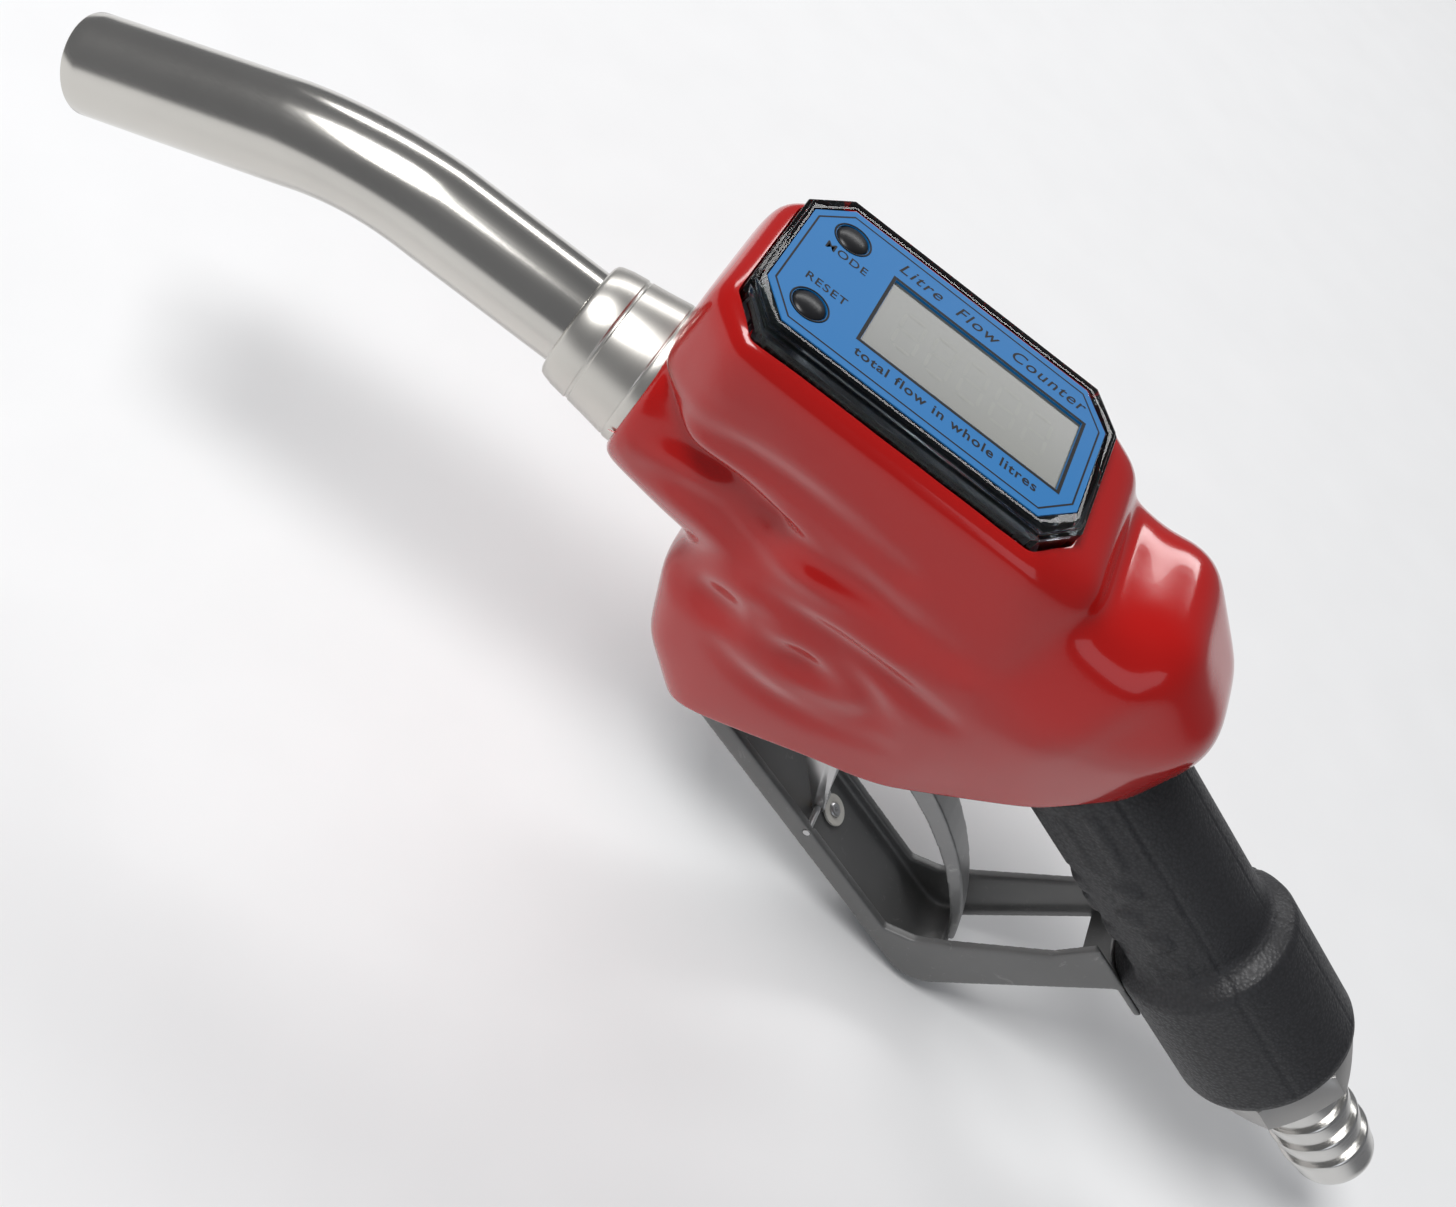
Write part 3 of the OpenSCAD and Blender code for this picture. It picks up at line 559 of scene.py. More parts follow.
def hull_of_balls(balls):
    """A closed convex form round balls of (x, y, z, radius), on both sides of the middle plane."""
    bm = bmesh.new()
    for x, y, z, radius in balls:
        for side in (-1, 1):
            bmesh.ops.create_uvsphere(bm, u_segments=24, v_segments=16, radius=radius,
                                      matrix=Matrix.Translation((x, side * y, z)))
    return shrink_wrapped(bm)


def shrink_wrapped(bm):
    """The convex hull of a bmesh's vertices, with nothing left inside."""
    bmesh.ops.delete(bm, geom=bm.edges[:], context="EDGES_FACES")
    made = bmesh.ops.convex_hull(bm, input=bm.verts[:])
    inside = [v for v in made["geom_interior"] + made["geom_unused"] if isinstance(v, bmesh.types.BMVert)]
    bmesh.ops.delete(bm, geom=list(set(inside)), context="VERTS")
    return bm


def lip_tube():
    """The tube that hugs the barrel, out to the front lip."""
    bm = bmesh.new()
    for x, radius in LIP_RINGS:
        bmesh.ops.create_circle(bm, cap_ends=False, radius=radius, segments=64,
                                matrix=Matrix.Translation((x, 0, 0)) @ Matrix.Rotation(math.pi / 2, 4, "Y"))
    return shrink_wrapped(bm)


def joined(parts):
    """Several bmeshes in one."""
    whole = bmesh.new()
    for part in parts:
        scratch = bpy.data.meshes.new("scratch")
        part.to_mesh(scratch)
        part.free()
        whole.from_mesh(scratch)
        bpy.data.meshes.remove(scratch)
    return whole


cover = as_object(joined([hull_of_balls(b) for b in COVER_HULLS] + [lip_tube()]), "cover_shell")
modify(cover, "REMESH", mode="VOXEL", voxel_size=1.05)
modify(cover, "SMOOTH", factor=0.5, iterations=55)
print("cover body has", len(cover.data.vertices), "vertices")


# %% [markdown]
# ## Flutes
# The sides carry long finger-like flutes that sweep back from the lip, thin folds beside them and
# three leaf-shaped hollows. Each is a line of points on the side of the cover. A vertex near the line
# moves in sideways, most at the line and fading to its edges, as a thumb presses clay.

# %% Press the flutes
FLUTES = [
    # (line of x and z, half width, depth), where a negative depth raises a fold
    ([(40, 27), (26, 31), (12, 33)], 6.0, -0.8),
    ([(43, 18), (32, 21), (22, 24), (11, 25.5), (-2, 26), (-20, 26)], 6.0, 3.4),
    ([(42, 9), (30, 14), (18, 18), (6, 19), (-8, 19), (-20, 18)], 5.0, -2.2),
    ([(40, 4), (30, 8), (19, 12.5), (10, 14)], 4.8, 2.4),
    ([(16, 4), (5, 8), (-6, 11), (-16, 12.5), (-28, 14)], 7.0, 3.2),
    ([(36, -6), (28, -2), (18, -1), (8, -2), (-4, 0), (-18, 4), (-32, 8)], 5.0, -2.4),
    ([(4, -8), (-8, -6), (-20, -4), (-38, -3), (-52, -3)], 5.5, 3.0),
    ([(10, -29), (3, -25), (-5, -20)], 9.0, 3.4),
    ([(-6, -14), (-16, -10), (-28, -10), (-38, -14), (-42, -20), (-38, -27), (-28, -31)], 5.4, -2.2),
    ([(-14, -22), (-21, -20), (-29, -19)], 7.5, 3.2),
    ([(-6, -37), (-20, -39), (-34, -36), (-47, -28)], 6.0, 1.6),
]


def nearest_on(line, x, z):
    """Distance from a point to a line of points, and how far along the line it is, from 0 to 1."""
    best, share = 1e9, 0.0
    count = len(line) - 1
    for i, ((ax, az), (bx, bz)) in enumerate(zip(line, line[1:])):
        dx, dz = bx - ax, bz - az
        t = max(0.0, min(1.0, ((x - ax) * dx + (z - az) * dz) / (dx * dx + dz * dz)))
        gap = math.hypot(x - ax - t * dx, z - az - t * dz)
        if gap < best:
            best, share = gap, (i + t) / count
    return best, share


def press(bm, line, half_width, depth):
    """Presses one flute into both sides."""
    soft = smooth_line(line, 4)
    low_x = min(p[0] for p in soft) - half_width
    high_x = max(p[0] for p in soft) + half_width
    moved = 0
    for v in bm.verts:
        if not low_x < v.co.x < high_x or abs(v.co.y) < 8:
            continue
        gap, share = nearest_on(soft, v.co.x, v.co.z)
        if gap < half_width:
            facing = min(1.0, max(0.0, (abs(v.normal.y) - 0.2) / 0.4))
            fade = math.sin(math.pi * min(0.92, max(0.08, share))) ** 0.6
            push = depth * facing * fade * (1 - (gap / half_width) ** 2) ** 2
            v.co.y -= math.copysign(push, v.co.y)
            moved += 1
    return moved


bm = reshape(cover)
print("vertices moved", [press(bm, *flute) for flute in FLUTES])
for _ in range(22):
    bmesh.ops.smooth_vert(bm, verts=bm.verts, factor=0.5, use_axis_x=True, use_axis_y=True, use_axis_z=True)
put_back(bm, cover)

# %% [markdown]
# ## Openings of the cover
# The meter looks out through an eight-sided window, the spout through a round one, and the lever and
# the handle hang out below a long curved rim. Cutters take each opening out of the closed form, the
# faces that they leave are deleted, and a wall grows inwards from the skin that is left. The wall is
# thinner behind the flutes, where a thick one would fold back on itself inside a narrow ridge.

# %% Cut and thicken
RIM = [(60, -90), (20, -80), (-9, -70), (-39, -54), (-61, -42), (-86, -17), (-97, -5), (-112, 4), (-130, 8)]
WALL = 1.8
shell_low, shell_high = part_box("clear_shell")
SHELL_BACK = (shell_low.x - DISPLAY_X) / MM
SHELL_FRONT = (shell_high.x - DISPLAY_X) / MM
SHELL_SIDE = shell_high.y / MM


def prism(outline, low, high, along="Z"):
    """A closed prism over an outline of points: up Z, or sideways along Y from points of x and z."""
    bm = bmesh.new()
    place = (lambda u, v: (u, v, low)) if along == "Z" else (lambda u, v: (u, low, v))
    face = bm.faces.new([bm.verts.new(place(u, v)) for u, v in outline])
    top = bmesh.ops.extrude_face_region(bm, geom=[face])["geom"]
    step = (0, 0, high - low) if along == "Z" else (0, high - low, 0)
    bmesh.ops.translate(bm, vec=step, verts=[v for v in top if isinstance(v, bmesh.types.BMVert)])
    bmesh.ops.recalc_face_normals(bm, faces=bm.faces)
    return bm


def octagon(back, front, side, cut_x, cut_y):
    """Outline of a rectangle with its corners cut off."""
    return [(front, side - cut_y), (front - cut_x, side), (back + cut_x, side), (back, side - cut_y),
            (back, cut_y - side), (back + cut_x, -side), (front - cut_x, -side), (front, cut_y - side)]


def rod(radius, start, end, segments=64):
    """A closed cylinder up Z."""
    bm = bmesh.new()
    bmesh.ops.create_cone(bm, cap_ends=True, segments=segments, radius1=radius, radius2=radius,
                          depth=end - start, matrix=Matrix.Translation((0, 0, (start + end) / 2)))
    return bm


def cut_away(piece, bm, keep_walls=False):
    """Takes a cutter out of a piece. The faces that it leaves are deleted unless they are kept."""
    cutter = as_object(bm, "cutter")
    for target in (piece, cutter):
        while len(target.data.materials) < 2:
            target.data.materials.append(None)
    for face in cutter.data.polygons:
        face.material_index = 1
    modify(piece, "BOOLEAN", operation="DIFFERENCE", solver="EXACT", object=cutter)
    bpy.data.objects.remove(cutter)
    if not keep_walls:
        bm = reshape(piece)
        bmesh.ops.delete(bm, geom=[f for f in bm.faces if f.material_index == 1], context="FACES")
        put_back(bm, piece)


def relax_rims(piece, passes):
    """Smooths the open edges of a sheet along their own line."""
    bm = reshape(piece)
    bmesh.ops.remove_doubles(bm, verts=bm.verts, dist=0.25)
    for _ in range(passes):
        rims = {v: [e.other_vert(v) for e in v.link_edges if e.is_boundary] for v in bm.verts if v.is_boundary}
        moves = {v: (v.co * 2 + near[0].co + near[1].co) / 4 for v, near in rims.items() if len(near) == 2}
        for v, co in moves.items():
            v.co = co
    put_back(bm, piece)


HANDLE_IN_BARREL = BARREL.inverted() @ HANDLE
rim_line = smooth_line(RIM, 6)
below = rim_line + [(-150, -10), (-150, -120), (60, -120)]
cut_away(cover, prism(below, -60, 60, along="Y"))
cut_away(cover, prism(octagon(SHELL_BACK - 0.5, SHELL_FRONT + 0.5, SHELL_SIDE + 0.5, 8, 9.8), 36, 80))
front_rod = rod(19.3, 30, 80)
front_rod.transform(Matrix.Rotation(math.pi / 2, 4, "Y"))
cut_away(cover, front_rod)
grip_rod = rod(19.9, 12, 100)
grip_rod.transform(HANDLE_IN_BARREL)
cut_away(cover, grip_rod)
relax_rims(cover, 6)
wall = cover.vertex_groups.new(name="wall")
for v in cover.data.vertices:
    fluted = abs(v.co.y) > 14 and -52 < v.co.x < 38 and -36 < v.co.z < 32
    wall.add([v.index], 0.35 if fluted else 1.0, "REPLACE")
modify(cover, "SOLIDIFY", thickness=WALL, offset=-1.0, use_even_offset=False, use_rim=True,
       material_offset_rim=1, vertex_group="wall")
bm = reshape(cover)
rims = [e for e in bm.edges if e.is_manifold and len({f.material_index for f in e.link_faces}) == 2]
bmesh.ops.bevel(bm, geom=rims, affect="EDGES", offset=0.6, offset_type="OFFSET", segments=2, profile=0.5,
                material=-1, clamp_overlap=True)
for face in bm.faces:
    face.material_index = 0
bm.transform(BARREL)
put_back(bm, cover)
settle(cover, "nozzle", COVER_RED, ["cover"], sharp=60)


# %% [markdown]
# ## Spout
# The spout is one length of steel tube, bent a little before its middle and cut off square. A circle
# is pushed out along the barrel, spun round the centre of the bend, and pushed on to the tip. A press
# flattens a tube slightly where it bends it, so the bend is squeezed by up to a twentieth. A solidify
# then gives the sheet its wall.

# %% Make the spout
SPOUT_R = 12.5
SPOUT_WALL = 1.3
SPOUT_START = 34.0
BEND_X = 108.5
BEND_R = 100.0
BEND = math.radians(22.4)
TIP = 56.5


def push_out(bm, edges, step, count):
    """Extrudes a loop of edges by a step, several times, and returns its last loop."""
    for _ in range(count):
        made = bmesh.ops.extrude_edge_only(bm, edges=edges)["geom"]
        edges = [g for g in made if isinstance(g, bmesh.types.BMEdge)]
        bmesh.ops.translate(bm, vec=step, verts=[g for g in made if isinstance(g, bmesh.types.BMVert)])
        edges = [e for e in edges if e.is_boundary]
    return edges


bm = bmesh.new()
bmesh.ops.create_circle(bm, cap_ends=False, radius=SPOUT_R, segments=80,
                        matrix=Matrix.Translation((SPOUT_START, 0, 0)) @ Matrix.Rotation(math.pi / 2, 4, "Y"))
STRAIGHT_STEPS = 20
end = push_out(bm, bm.edges[:], ((BEND_X - SPOUT_START) / STRAIGHT_STEPS, 0, 0), STRAIGHT_STEPS)
spun = bmesh.ops.spin(bm, geom=end, cent=(BEND_X, 0, -BEND_R), axis=(0, 1, 0), angle=BEND, steps=24)
end = [g for g in spun["geom_last"] if isinstance(g, bmesh.types.BMEdge)]
TIP_STEPS = 16
tip_way = Vector((math.cos(BEND), 0, -math.sin(BEND)))
push_out(bm, end, tip_way * (TIP / TIP_STEPS), TIP_STEPS)
bmesh.ops.remove_doubles(bm, verts=bm.verts, dist=1e-4)
for v in bm.verts:
    turn = math.atan2(v.co.x - BEND_X, v.co.z + BEND_R)
    if v.co.x < BEND_X or turn > BEND:
        squeeze = 0.0
    else:
        squeeze = 0.05 * math.sin(math.pi * turn / BEND)
    across = math.hypot(v.co.x - BEND_X, v.co.z + BEND_R) - BEND_R
    outward = Vector((v.co.x - BEND_X, 0, v.co.z + BEND_R)).normalized()
    v.co -= outward * across * squeeze
bmesh.ops.recalc_face_normals(bm, faces=bm.faces)
spout = as_object(bm, "spout", BARREL)
modify(spout, "SOLIDIFY", thickness=SPOUT_WALL * MM, offset=-1.0, use_even_offset=True, use_rim=True)
eased(spout, 0.25, 2, 60)
settle(spout, "nozzle", SPOUT_STEEL, ["spout_tube"], sharp=45)

# %% [markdown]
# ## Collar of the spout
# The collar is turned from bar: a long taper, a small step and a broken edge at the front, where it
# grips the tube. Half of its section is drawn once and spun round the barrel.

# %% Make the collar
COLLAR = [(12.5, 30), (15.05, 30), (15.05, 44.51), (18.4, 44.51), (18.8, 45.3), (18.78, 47.8), (18.5, 48.4),
          (18.35, 48.6), (18.5, 48.9), (17.5, 55), (16.9, 59.4), (16.6, 59.7), (16.6, 60.3), (16.85, 60.6),
          (16.3, 64.6), (15.6, 67.2), (15.2, 68.0), (14.4, 68.5), (12.9, 68.5), (12.5, 68.1)]
bm = turned(COLLAR, 120)
collar = as_object(bm, "collar", ALONG_BARREL)
eased(collar, 0.12, 2, 25)
settle(collar, "nozzle", COLLAR_STEEL, ["spout_collar"], sharp=40)

# %% [markdown]
# ## Handle grip
# The handle wears a rubber sleeve that ends in a thick bumper. Its back is one broad pebbled panel
# between two grooves, with a thin parting line down its middle. Its front has lengthwise ribs, then
# three short rows of raised bars for the fingers. All of that is on one turned sleeve: each vertex
# knows its angle and its place along the handle, and a few small functions say how high the rubber
# stands there.

# %% Make the grip
GRIP_STEPS = 220
GRIP = [(17.0, 26.0), (18.9, 26.0), (19.5, 26.5), (19.6, 27.5), (19.6, 88.0), (19.9, 89.4), (21.0, 91.0),
        (23.0, 92.6), (24.2, 93.8), (24.7, 95.6), (24.7, 132.6), (24.3, 134.2), (23.2, 135.5), (22.0, 136.0),
        (21.1, 136.0)]


def wave(value, low, high, soft):
    """1 between low and high, 0 outside, with soft ends."""
    up = min(1.0, max(0.0, (value - low) / soft))
    down = min(1.0, max(0.0, (high - value) / soft))
    return (up * up * (3 - 2 * up)) * (down * down * (3 - 2 * down))


def rib_height(angle, s):
    """Height of the grip's moulded pattern, in millimetres, at an angle from the back of the handle."""
    front = 180 - abs(angle)
    ribs = 0.7 * max(0.0, math.cos(math.radians(front * 15))) ** 0.7 * wave(front, -1, 118, 4)
    height = ribs * (wave(s, 30, 51, 2.0) + 0.8 * wave(s, 82, 91, 1.5))
    for row in range(3):
        middle = 57 + row * 9.0
        shift = 11 if row % 2 else 0
        bar = max(0.0, math.cos(math.radians((front + shift) * 8))) ** 0.8
        height += 1.1 * bar * wave(s, middle - 3.4, middle + 3.4, 1.5) * wave(front, -1, 118, 4)
    line = wave(abs(angle), 58.0, 61.6, 1.6) * wave(s, 27, 133, 2.0)
    edge = wave(abs(angle), -1.0, 1.5, 1.1) * wave(s, 27, 133, 2.0)
    return height - 0.35 * line - 0.22 * edge


bm = bmesh.new()
verts = [bm.verts.new((r, 0, s)) for r, s in GRIP]
edges = [bm.edges.new(pair) for pair in zip(verts, verts[1:])]
for edge in edges:
    cuts = int(edge.calc_length() / 0.8)
    if cuts > 0:
        bmesh.ops.subdivide_edges(bm, edges=[edge], cuts=cuts)
bmesh.ops.spin(bm, geom=bm.verts[:] + bm.edges[:], cent=(0, 0, 0), axis=(0, 0, 1), angle=math.tau,
               steps=GRIP_STEPS, use_merge=True)
bmesh.ops.remove_doubles(bm, verts=bm.verts, dist=1e-4)
bmesh.ops.recalc_face_normals(bm, faces=bm.faces)
for v in bm.verts:
    radius = math.hypot(v.co.x, v.co.y)
    angle = math.degrees(math.atan2(v.co.y, v.co.x))
    grow = 1 + rib_height(angle, v.co.z) / radius * (0.0 if radius < 18.5 else 1.0)
    v.co.x *= grow
    v.co.y *= grow
grip = as_object(bm, "grip", HANDLE)
modify(grip, "SOLIDIFY", thickness=1.6 * MM, offset=-1.0, use_even_offset=False, use_rim=True)
settle(grip, "nozzle", GRIP_RUBBER, ["handle_grip"], sharp=50)

# %% [markdown]
# ## Guard, lever and latch
# The guard and the lever are die castings with soft edges all over. Their CAD shapes are right, so a
# merged copy of each is remeshed finely and relaxed for a few passes, which rounds every edge the way
# a casting die does. The latch is a blanked plate: its copy only has its edges broken, and its front
# edge keeps the brass colour of its plating.

# %% Soften the castings
guard = cast(copy_of("guard_frame", "guard"), 0.62, 7)
settle(guard, "nozzle", GUARD_CAST, ["guard_frame"], sharp=0)
lever = cast(copy_of("lever", "squeeze_lever"), 0.42, 6)
settle(lever, "lever", LEVER_CAST, ["lever"], sharp=0)

# %% Plate the latch
latch = eased(copy_of("latch", "hold_open_latch"), 0.2, 2, 40)
settle(latch, "latch", PLAIN_STEEL, ["latch"], sharp=40)
latch.data.materials.append(BRASS)
for face in latch.data.polygons:
    if face.normal.x > 0.6 and abs(face.normal.y) < 0.5:
        face.material_index = 1

# %% [markdown]
# ## Rivet and washer
# A domed rivet through a pale washer holds the latch's rest on the inside of the guard.

# %% Make the rivet
WASHER = [(1.2, 0.02), (4.5, 0.02), (4.6, 0.15), (4.6, 0.65), (4.45, 0.8), (2.6, 0.8), (2.4, 0.7), (1.2, 0.7)]
HEAD = [(0.0, 0.5), (2.1, 0.5), (2.2, 0.8), (2.0, 1.25), (1.4, 1.5), (0.7, 1.35), (0.5, 0.9), (0.0, 0.85)]
front_slope = math.radians(-23.1)
rivet_seat = Vector((-66, -1, -90.55))
rivet_place = BARREL @ Matrix.Translation(rivet_seat) @ Matrix.Rotation(front_slope, 4, "Y")
washer = as_object(turned(WASHER, 48), "latch_washer", rivet_place)
settle(washer, "nozzle", WHITE_PLASTIC, ["latch_rivet"], sharp=40)
rivet = as_object(turned(HEAD, 48, closed=False), "latch_rivet_head", rivet_place)
settle(rivet, "nozzle", PLAIN_STEEL, sharp=50)

# %% [markdown]
# ## Hose tail
# The tail is turned from hexagon bar: a barbed end for the hose, the hexagon with its corners
# chamfered, and an inch thread. The barbs are a spun section. The thread is a true helix: its tooth is
# spun with a step along the axis at each stage, six turns long. The hexagon is a prism whose corners
# a spun cone cuts back, as a lathe does before the bar is parted off.

# %% Make the tail
THREAD_R = 16.62
THREAD_ROOT = 15.14
THREAD_FROM = 120.5
PITCH = 2.309
TURNS = 6
HEX_FROM = 136.6
HEX_TO = 147.1
HEX_AF = 38.0


def helix_tooth(root, crest, pitch, turns, steps_a_turn=72):
    """A thread's tooth, swept along its helix and closed at both ends."""
    bm = bmesh.new()
    corners = [(root - 0.3, -0.62), (root, -0.48), (crest, -0.06), (crest, 0.06), (root, 0.48), (root - 0.3, 0.62)]
    verts = [bm.verts.new((r, 0, h * pitch)) for r, h in corners]
    edges = [bm.edges.new(pair) for pair in zip(verts, verts[1:] + verts[:1])]
    steps = turns * steps_a_turn
    bmesh.ops.spin(bm, geom=verts + edges, cent=(0, 0, 0), axis=(0, 0, 1), angle=math.tau * turns,
                   dvec=(0, 0, pitch / steps_a_turn), steps=steps, use_merge=False)
    bmesh.ops.holes_fill(bm, edges=[e for e in bm.edges if e.is_boundary], sides=0)
    bmesh.ops.recalc_face_normals(bm, faces=bm.faces)
    return bm


def barbed_section():
    """Section of the tail from the end of its thread to the end of its barbs."""
    section = [(9.5, 116.4), (13.4, 116.4), (14.0, 117.0), (14.0, 118.6), (THREAD_ROOT, 119.4),
               (THREAD_ROOT, 134.2), (14.9, 134.6), (14.9, HEX_FROM)]
    section += [(11.6, HEX_TO), (11.6, 152.8)]
    for i in range(4):
        start = 152.9 + i * 7.4
        section += [(12.55, start), (12.7, start + 0.25), (12.7, start + 1.0), (11.6, start + 7.3)]
    section += [(11.6, 183.4), (11.3, 184.2), (10.4, 185.1), (9.9, 185.1), (9.5, 184.7)]
    return section


thread = helix_tooth(THREAD_ROOT, THREAD_R, PITCH, TURNS)
bmesh.ops.translate(thread, vec=(0, 0, THREAD_FROM), verts=thread.verts)
tail = as_object(joined([turned(barbed_section(), 96), thread]), "hose_tail_body", HANDLE)
settle(tail, "tail", TAIL_STEEL, sharp=35)

# %% Chamfer the hexagon
bm = bmesh.new()
bmesh.ops.create_cone(bm, cap_ends=True, segments=6, radius1=HEX_AF / 2 / math.cos(math.pi / 6),
                      radius2=HEX_AF / 2 / math.cos(math.pi / 6), depth=HEX_TO - HEX_FROM,
                      matrix=Matrix.Translation((0, 0, (HEX_FROM + HEX_TO) / 2)))
hexagon = as_object(bm, "tail_hexagon")
CHAMFER = [(0, HEX_FROM - 1), (18.6, HEX_FROM - 1), (18.6, HEX_FROM), (22.6, HEX_FROM + 2.2),
           (22.6, HEX_TO - 2.2), (18.6, HEX_TO), (18.6, HEX_TO + 1), (0, HEX_TO + 1)]
cutter = as_object(turned(CHAMFER, 96, closed=False), "chamfer")
modify(hexagon, "BOOLEAN", operation="INTERSECT", solver="EXACT", object=cutter)
bpy.data.objects.remove(cutter)
cut_away(hexagon, rod(11.4, HEX_FROM - 2, HEX_TO + 2), keep_walls=True)
hexagon.data.transform(HANDLE)
eased(hexagon, 0.15, 2, 20)
settle(hexagon, "tail", HEX_STEEL, ["hose_tail"], sharp=30)

# %% [markdown]
# ## Meter
# The meter is a clear moulded box with a printed label let into its face. The box keeps its CAD walls,
# with every outer edge rounded so that it catches light. The label's lines and words are thin printed
# shapes that lie a few hundredths above the film, so they stay crisp at any distance. The words only
# say what the buttons and the display are for.

# %% Clear box
meter_box = eased(copy_of("clear_shell", "meter_box"), 1.2, 3, 30)
settle(meter_box, "nozzle", CLEAR, ["clear_shell"], sharp=30)


# %% Printed lines
FILM = FACE + 0.02
LABEL_BACK = (label_low.x - DISPLAY_X) / MM
LABEL_FRONT = (label_high.x - DISPLAY_X) / MM
LABEL_SIDE = label_high.y / MM
lcd_low, lcd_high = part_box("lcd_panel")
LCD_MIDDLE = ((lcd_low.x + lcd_high.x) / 2 - DISPLAY_X) / MM
LCD_ACROSS = (lcd_low.y + lcd_high.y) / 2 / MM
WINDOW_LEN = 51.5
WINDOW_WIDTH = 24.9
INK = printed_film("label_ink", (0.002, 0.002, 0.003), (0.005, 0.005, 0.006), 0.5)


def printed_line(outline, width, height):
    """A flat line of even width just inside an outline."""
    bm = bmesh.new()
    face = bm.faces.new([bm.verts.new((x, y, height)) for x, y in outline])
    bm.normal_update()
    bmesh.ops.inset_region(bm, faces=[face], thickness=width, use_boundary=True, use_even_offset=True)
    bmesh.ops.delete(bm, geom=[face], context="FACES")
    return bm


border = printed_line(octagon(LABEL_BACK + 1.3, LABEL_FRONT - 1.3, LABEL_SIDE - 1.8, 6.8, 8.3), 0.45, FILM)
window = [(LCD_MIDDLE + sx * (WINDOW_LEN / 2 + 0.9), LCD_ACROSS + sy * (WINDOW_WIDTH / 2 + 0.9))
          for sx, sy in ((1, -1), (1, 1), (-1, 1), (-1, -1))]
frame_line = printed_line(window, 0.85, FILM)
lines = as_object(joined([border, frame_line]), "label_lines", BARREL)
settle(lines, "nozzle", INK, sharp=0)


# %% Lettering
def lettering(words, height, middle, lean=0.0, weight=0.0):
    """Words as flat faces. They read from the spout to the handle, with their tops to the right."""
    text = bpy.data.curves.new("words", "FONT")
    text.body = words
    text.size = height
    text.align_x = "CENTER"
    text.align_y = "CENTER"
    text.shear = lean
    text.offset = weight
    text.space_character = 1.15
    scratch = bpy.data.objects.new("words", text)
    scene.collection.objects.link(scratch)
    mesh = bpy.data.meshes.new_from_object(scratch.evaluated_get(bpy.context.evaluated_depsgraph_get()))
    bm = bmesh.new()
    bm.from_mesh(mesh)
    bpy.data.objects.remove(scratch)
    bm.transform(Matrix.Translation((*middle, FILM)) @ Matrix.Rotation(math.pi, 4, "Z"))
    return bm


BUTTON_X = 29.5
BUTTON_Y = 14.1
words = [
    lettering("MODE", 3.6, (BUTTON_X - 1.0, -7.0), weight=0.04),
    lettering("RESET", 3.6, (BUTTON_X - 1.0, 6.2), weight=0.04),
    lettering("Litre  Flow  Counter", 5.2, (LCD_MIDDLE + 1, -17.2), lean=0.3, weight=0.04),
    lettering("total flow in whole litres", 4.0, (LCD_MIDDLE + 2, 16.8), weight=0.08),
]
letters = as_object(joined(words), "label_letters", BARREL)
settle(letters, "nozzle", INK, sharp=0)

# %% [markdown]
# ## Display
# A liquid crystal display that is switched off still shows its segments faintly. Each digit is seven
# bars, and each bar is a flat six-sided face, a shade darker than the glass.

# %% Display segments
BARS = [((0, 1), 0), ((0.5, 0.5), 90), ((0.5, -0.5), 90), ((0, -1), 0), ((-0.5, -0.5), 90), ((-0.5, 0.5), 90),
        ((0, 0), 0)]


def bar(bm, x, y, length, width, turn):
    """One six-sided segment."""
    half = length / 2
    outline = [(half, 0), (half - width / 2, width / 2), (width / 2 - half, width / 2), (-half, 0),
               (width / 2 - half, -width / 2), (half - width / 2, -width / 2)]
    swing = Matrix.Rotation(math.radians(turn), 3, "Z")
    bm.faces.new([bm.verts.new(swing @ Vector((u, v, 0)) + Vector((x, y, 0))) for u, v in outline])


def ghost_ink():
    finish = Finish("ghost_segments", (0.125, 0.13, 0.11), Roughness=0.25)
    fade = finish.noise(120, detail=2)
    finish.feed(Base_Color=finish.mix(fade, (0.115, 0.12, 0.10), (0.14, 0.145, 0.125)))
    return finish.material


DIGIT_HEIGHT = 12.0
DIGIT_STEP = 8.6
bm = bmesh.new()
for place in range(5):
    for (across, up), turn in BARS:
        length = 5.0 if turn else 4.6
        bar(bm, (place - 2) * DIGIT_STEP + across * 5.4, up * DIGIT_HEIGHT / 2, length, 0.9, turn)
LCD_FACE = (lcd_high.z - AXIS_Z) / MM
bm.transform(Matrix.Translation((LCD_MIDDLE, LCD_ACROSS, LCD_FACE + 0.02)) @ Matrix.Rotation(math.pi, 4, "Z"))
segments = as_object(bm, "display_segments", BARREL)
settle(segments, "nozzle", ghost_ink(), sharp=0)

# %% [markdown]
# ## Buttons
# The two buttons are black rubber domes that stand just proud of the label, each in a thin ring. A
# dome is half a section, spun. It rides on its own button's body, so it goes down when it is pressed.

# %% Make the buttons
DOME = [(0.0, 54.35), (1.2, 54.3), (2.3, 54.12), (3.2, 53.85), (3.8, 53.5), (4.05, 53.1), (4.1, 52.6),
        (4.1, 49.4), (5.0, 49.3), (5.0, 48.45), (0.0, 48.45)]
RING = [(4.3, 53.45), (4.35, 53.62), (4.5, 53.7), (4.7, 53.66), (4.8, 53.5), (4.8, 53.45)]
for name, side in (("mode_button", -1), ("reset_button", 1)):
    place = BARREL @ Matrix.Translation((BUTTON_X, side * BUTTON_Y, 0))
    dome = as_object(turned(DOME, 48, closed=False), name + "_dome", place)
    settle(dome, name, BUTTON_RUBBER, [name], sharp=45)
    ring = as_object(turned(RING, 48), name + "_ring", place)
    settle(ring, "nozzle", INK, sharp=45)

# %% [markdown]
# ## What shows through the box
# Low down behind the clear wall a row of small pale eyelets and pins stands on the black carrier.
# Each eyelet is a small spun ring and each pin a plain rod, and all of them are one piece.

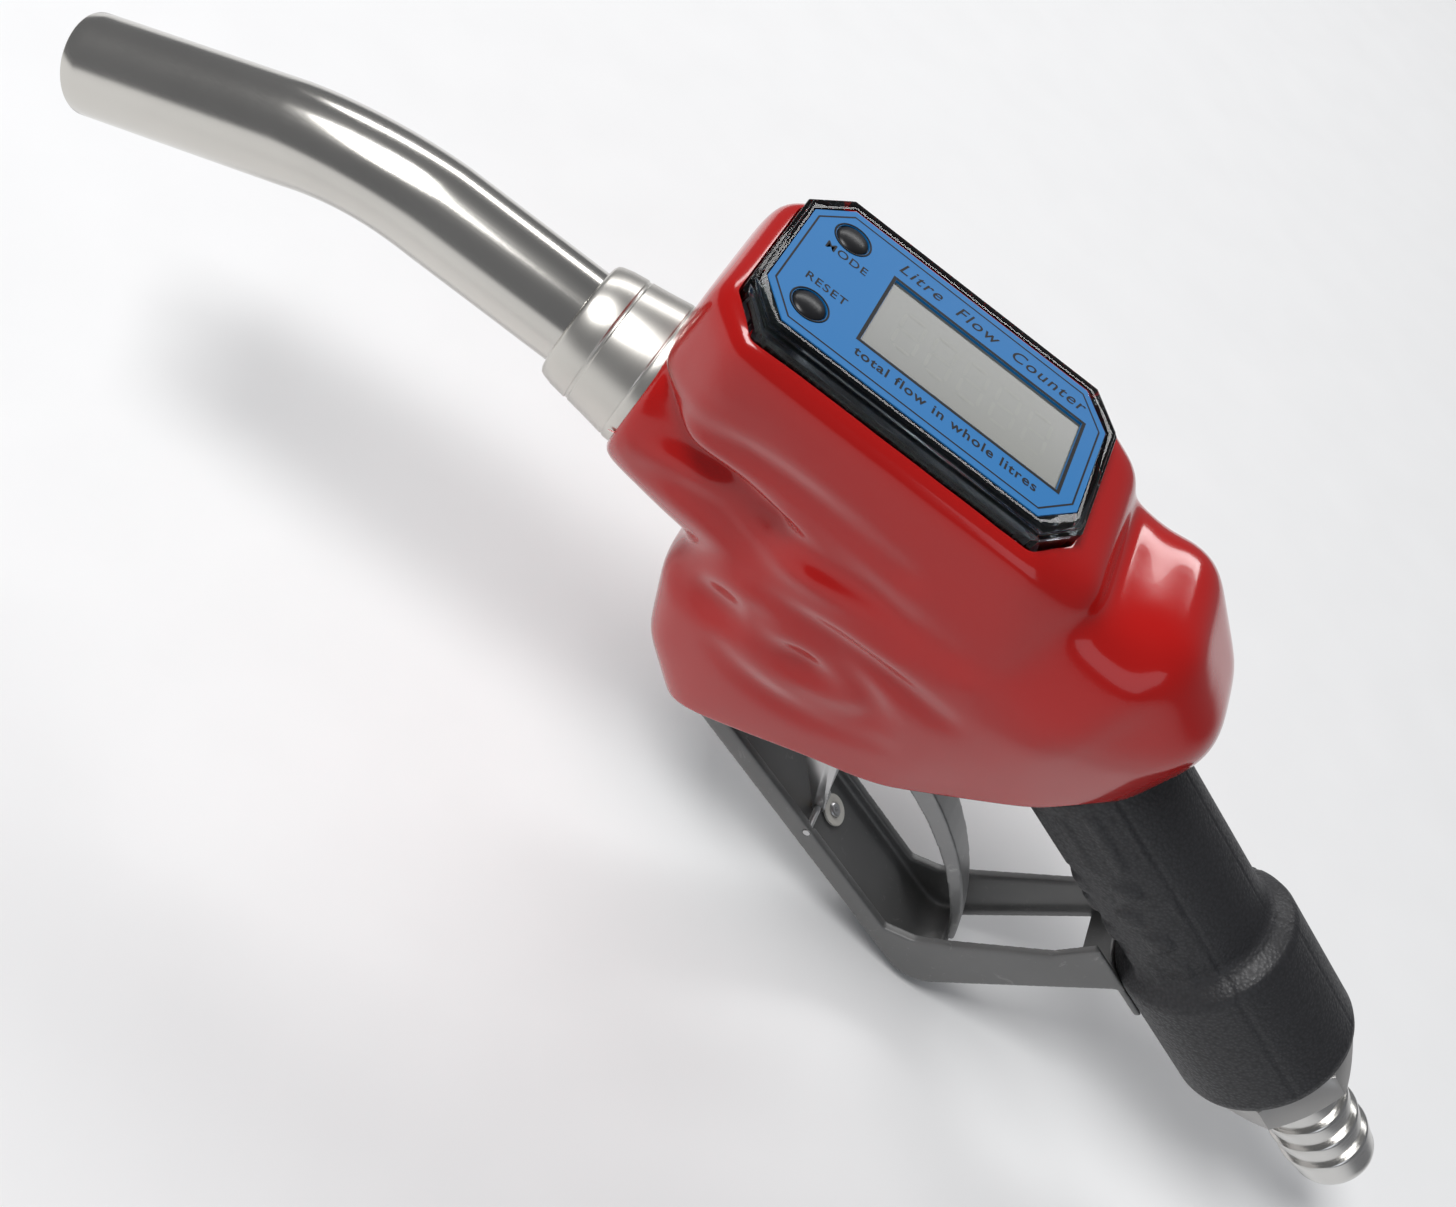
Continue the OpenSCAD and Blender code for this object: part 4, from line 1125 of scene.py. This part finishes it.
# %% Eyelets and pins
TRAY_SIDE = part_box("battery_tray")[1].y / MM
EYELETS = [-7.0, -9.7, -12.4, -15.1]
PINS = [15, 10.5, 7.5, 4.5, -21, -24, -27, -30, -34]
bm_parts = []
for x in EYELETS:
    eyelet = turned([(0.55, 0.0), (1.0, 0.0), (1.0, 0.22), (0.85, 0.34), (0.7, 0.34), (0.55, 0.22)], 24)
    eyelet.transform(Matrix.Translation((x, TRAY_SIDE, 43.0)) @ Matrix.Rotation(-math.pi / 2, 4, "X"))
    bm_parts.append(eyelet)
for x in PINS:
    pin = rod(0.28, 0.0, 3.4, 12)
    pin.transform(Matrix.Translation((x, TRAY_SIDE + 0.35, 41.2)))
    bm_parts.append(pin)
fittings = as_object(joined(bm_parts), "carrier_fittings", BARREL)
settle(fittings, "nozzle", WHITE_PLASTIC, sharp=40)
# %% Floor and light
def pale_floor():
    finish = Finish("pale_floor", (0.9, 0.9, 0.9), Roughness=0.8)
    grain = finish.noise(30, detail=2)
    finish.feed(Base_Color=finish.mix(grain, (0.88, 0.88, 0.88), (0.92, 0.92, 0.92)))
    return finish.material


FLOOR_DROP = 0.004
bm = bmesh.new()
bmesh.ops.create_grid(bm, x_segments=2, y_segments=2, size=6.0,
                      matrix=Matrix.Translation((0.2, 0, cad_box[0].z - FLOOR_DROP)))
floor = as_object(bm, "floor")
floor.data.materials.append(pale_floor())


def soft_box(name, towards, distance, size, power, color=(1, 1, 1)):
    """A rectangular studio light that faces the nozzle."""
    data = bpy.data.lights.new(name, "AREA")
    data.shape = "RECTANGLE"
    data.size, data.size_y = size
    data.energy = power
    data.color = color
    lamp = bpy.data.objects.new(name, data)
    direction = Vector(towards).normalized()
    lamp.location = MIDDLE + direction * distance
    lamp.rotation_euler = direction.to_track_quat("Z", "Y").to_euler()
    scene.collection.objects.link(lamp)


MIDDLE = at(-10, 0, 0)
soft_box("key", (0.55, 0.25, 1.0), 2.2, (1.1, 0.8), 38)
soft_box("side", (-0.55, 1.0, 0.42), 2.0, (1.1, 0.9), 3, (0.88, 0.93, 1.0))
soft_box("strip", (0.2, -1.0, 0.75), 1.8, (2.0, 0.25), 12)
world = bpy.data.worlds.new("studio")
world.use_nodes = True
world.node_tree.nodes["Background"].inputs["Color"].default_value = (0.93, 0.95, 1.0, 1.0)
world.node_tree.nodes["Background"].inputs["Strength"].default_value = 0.20
scene.world = world
scene.view_settings.view_transform = "Standard"
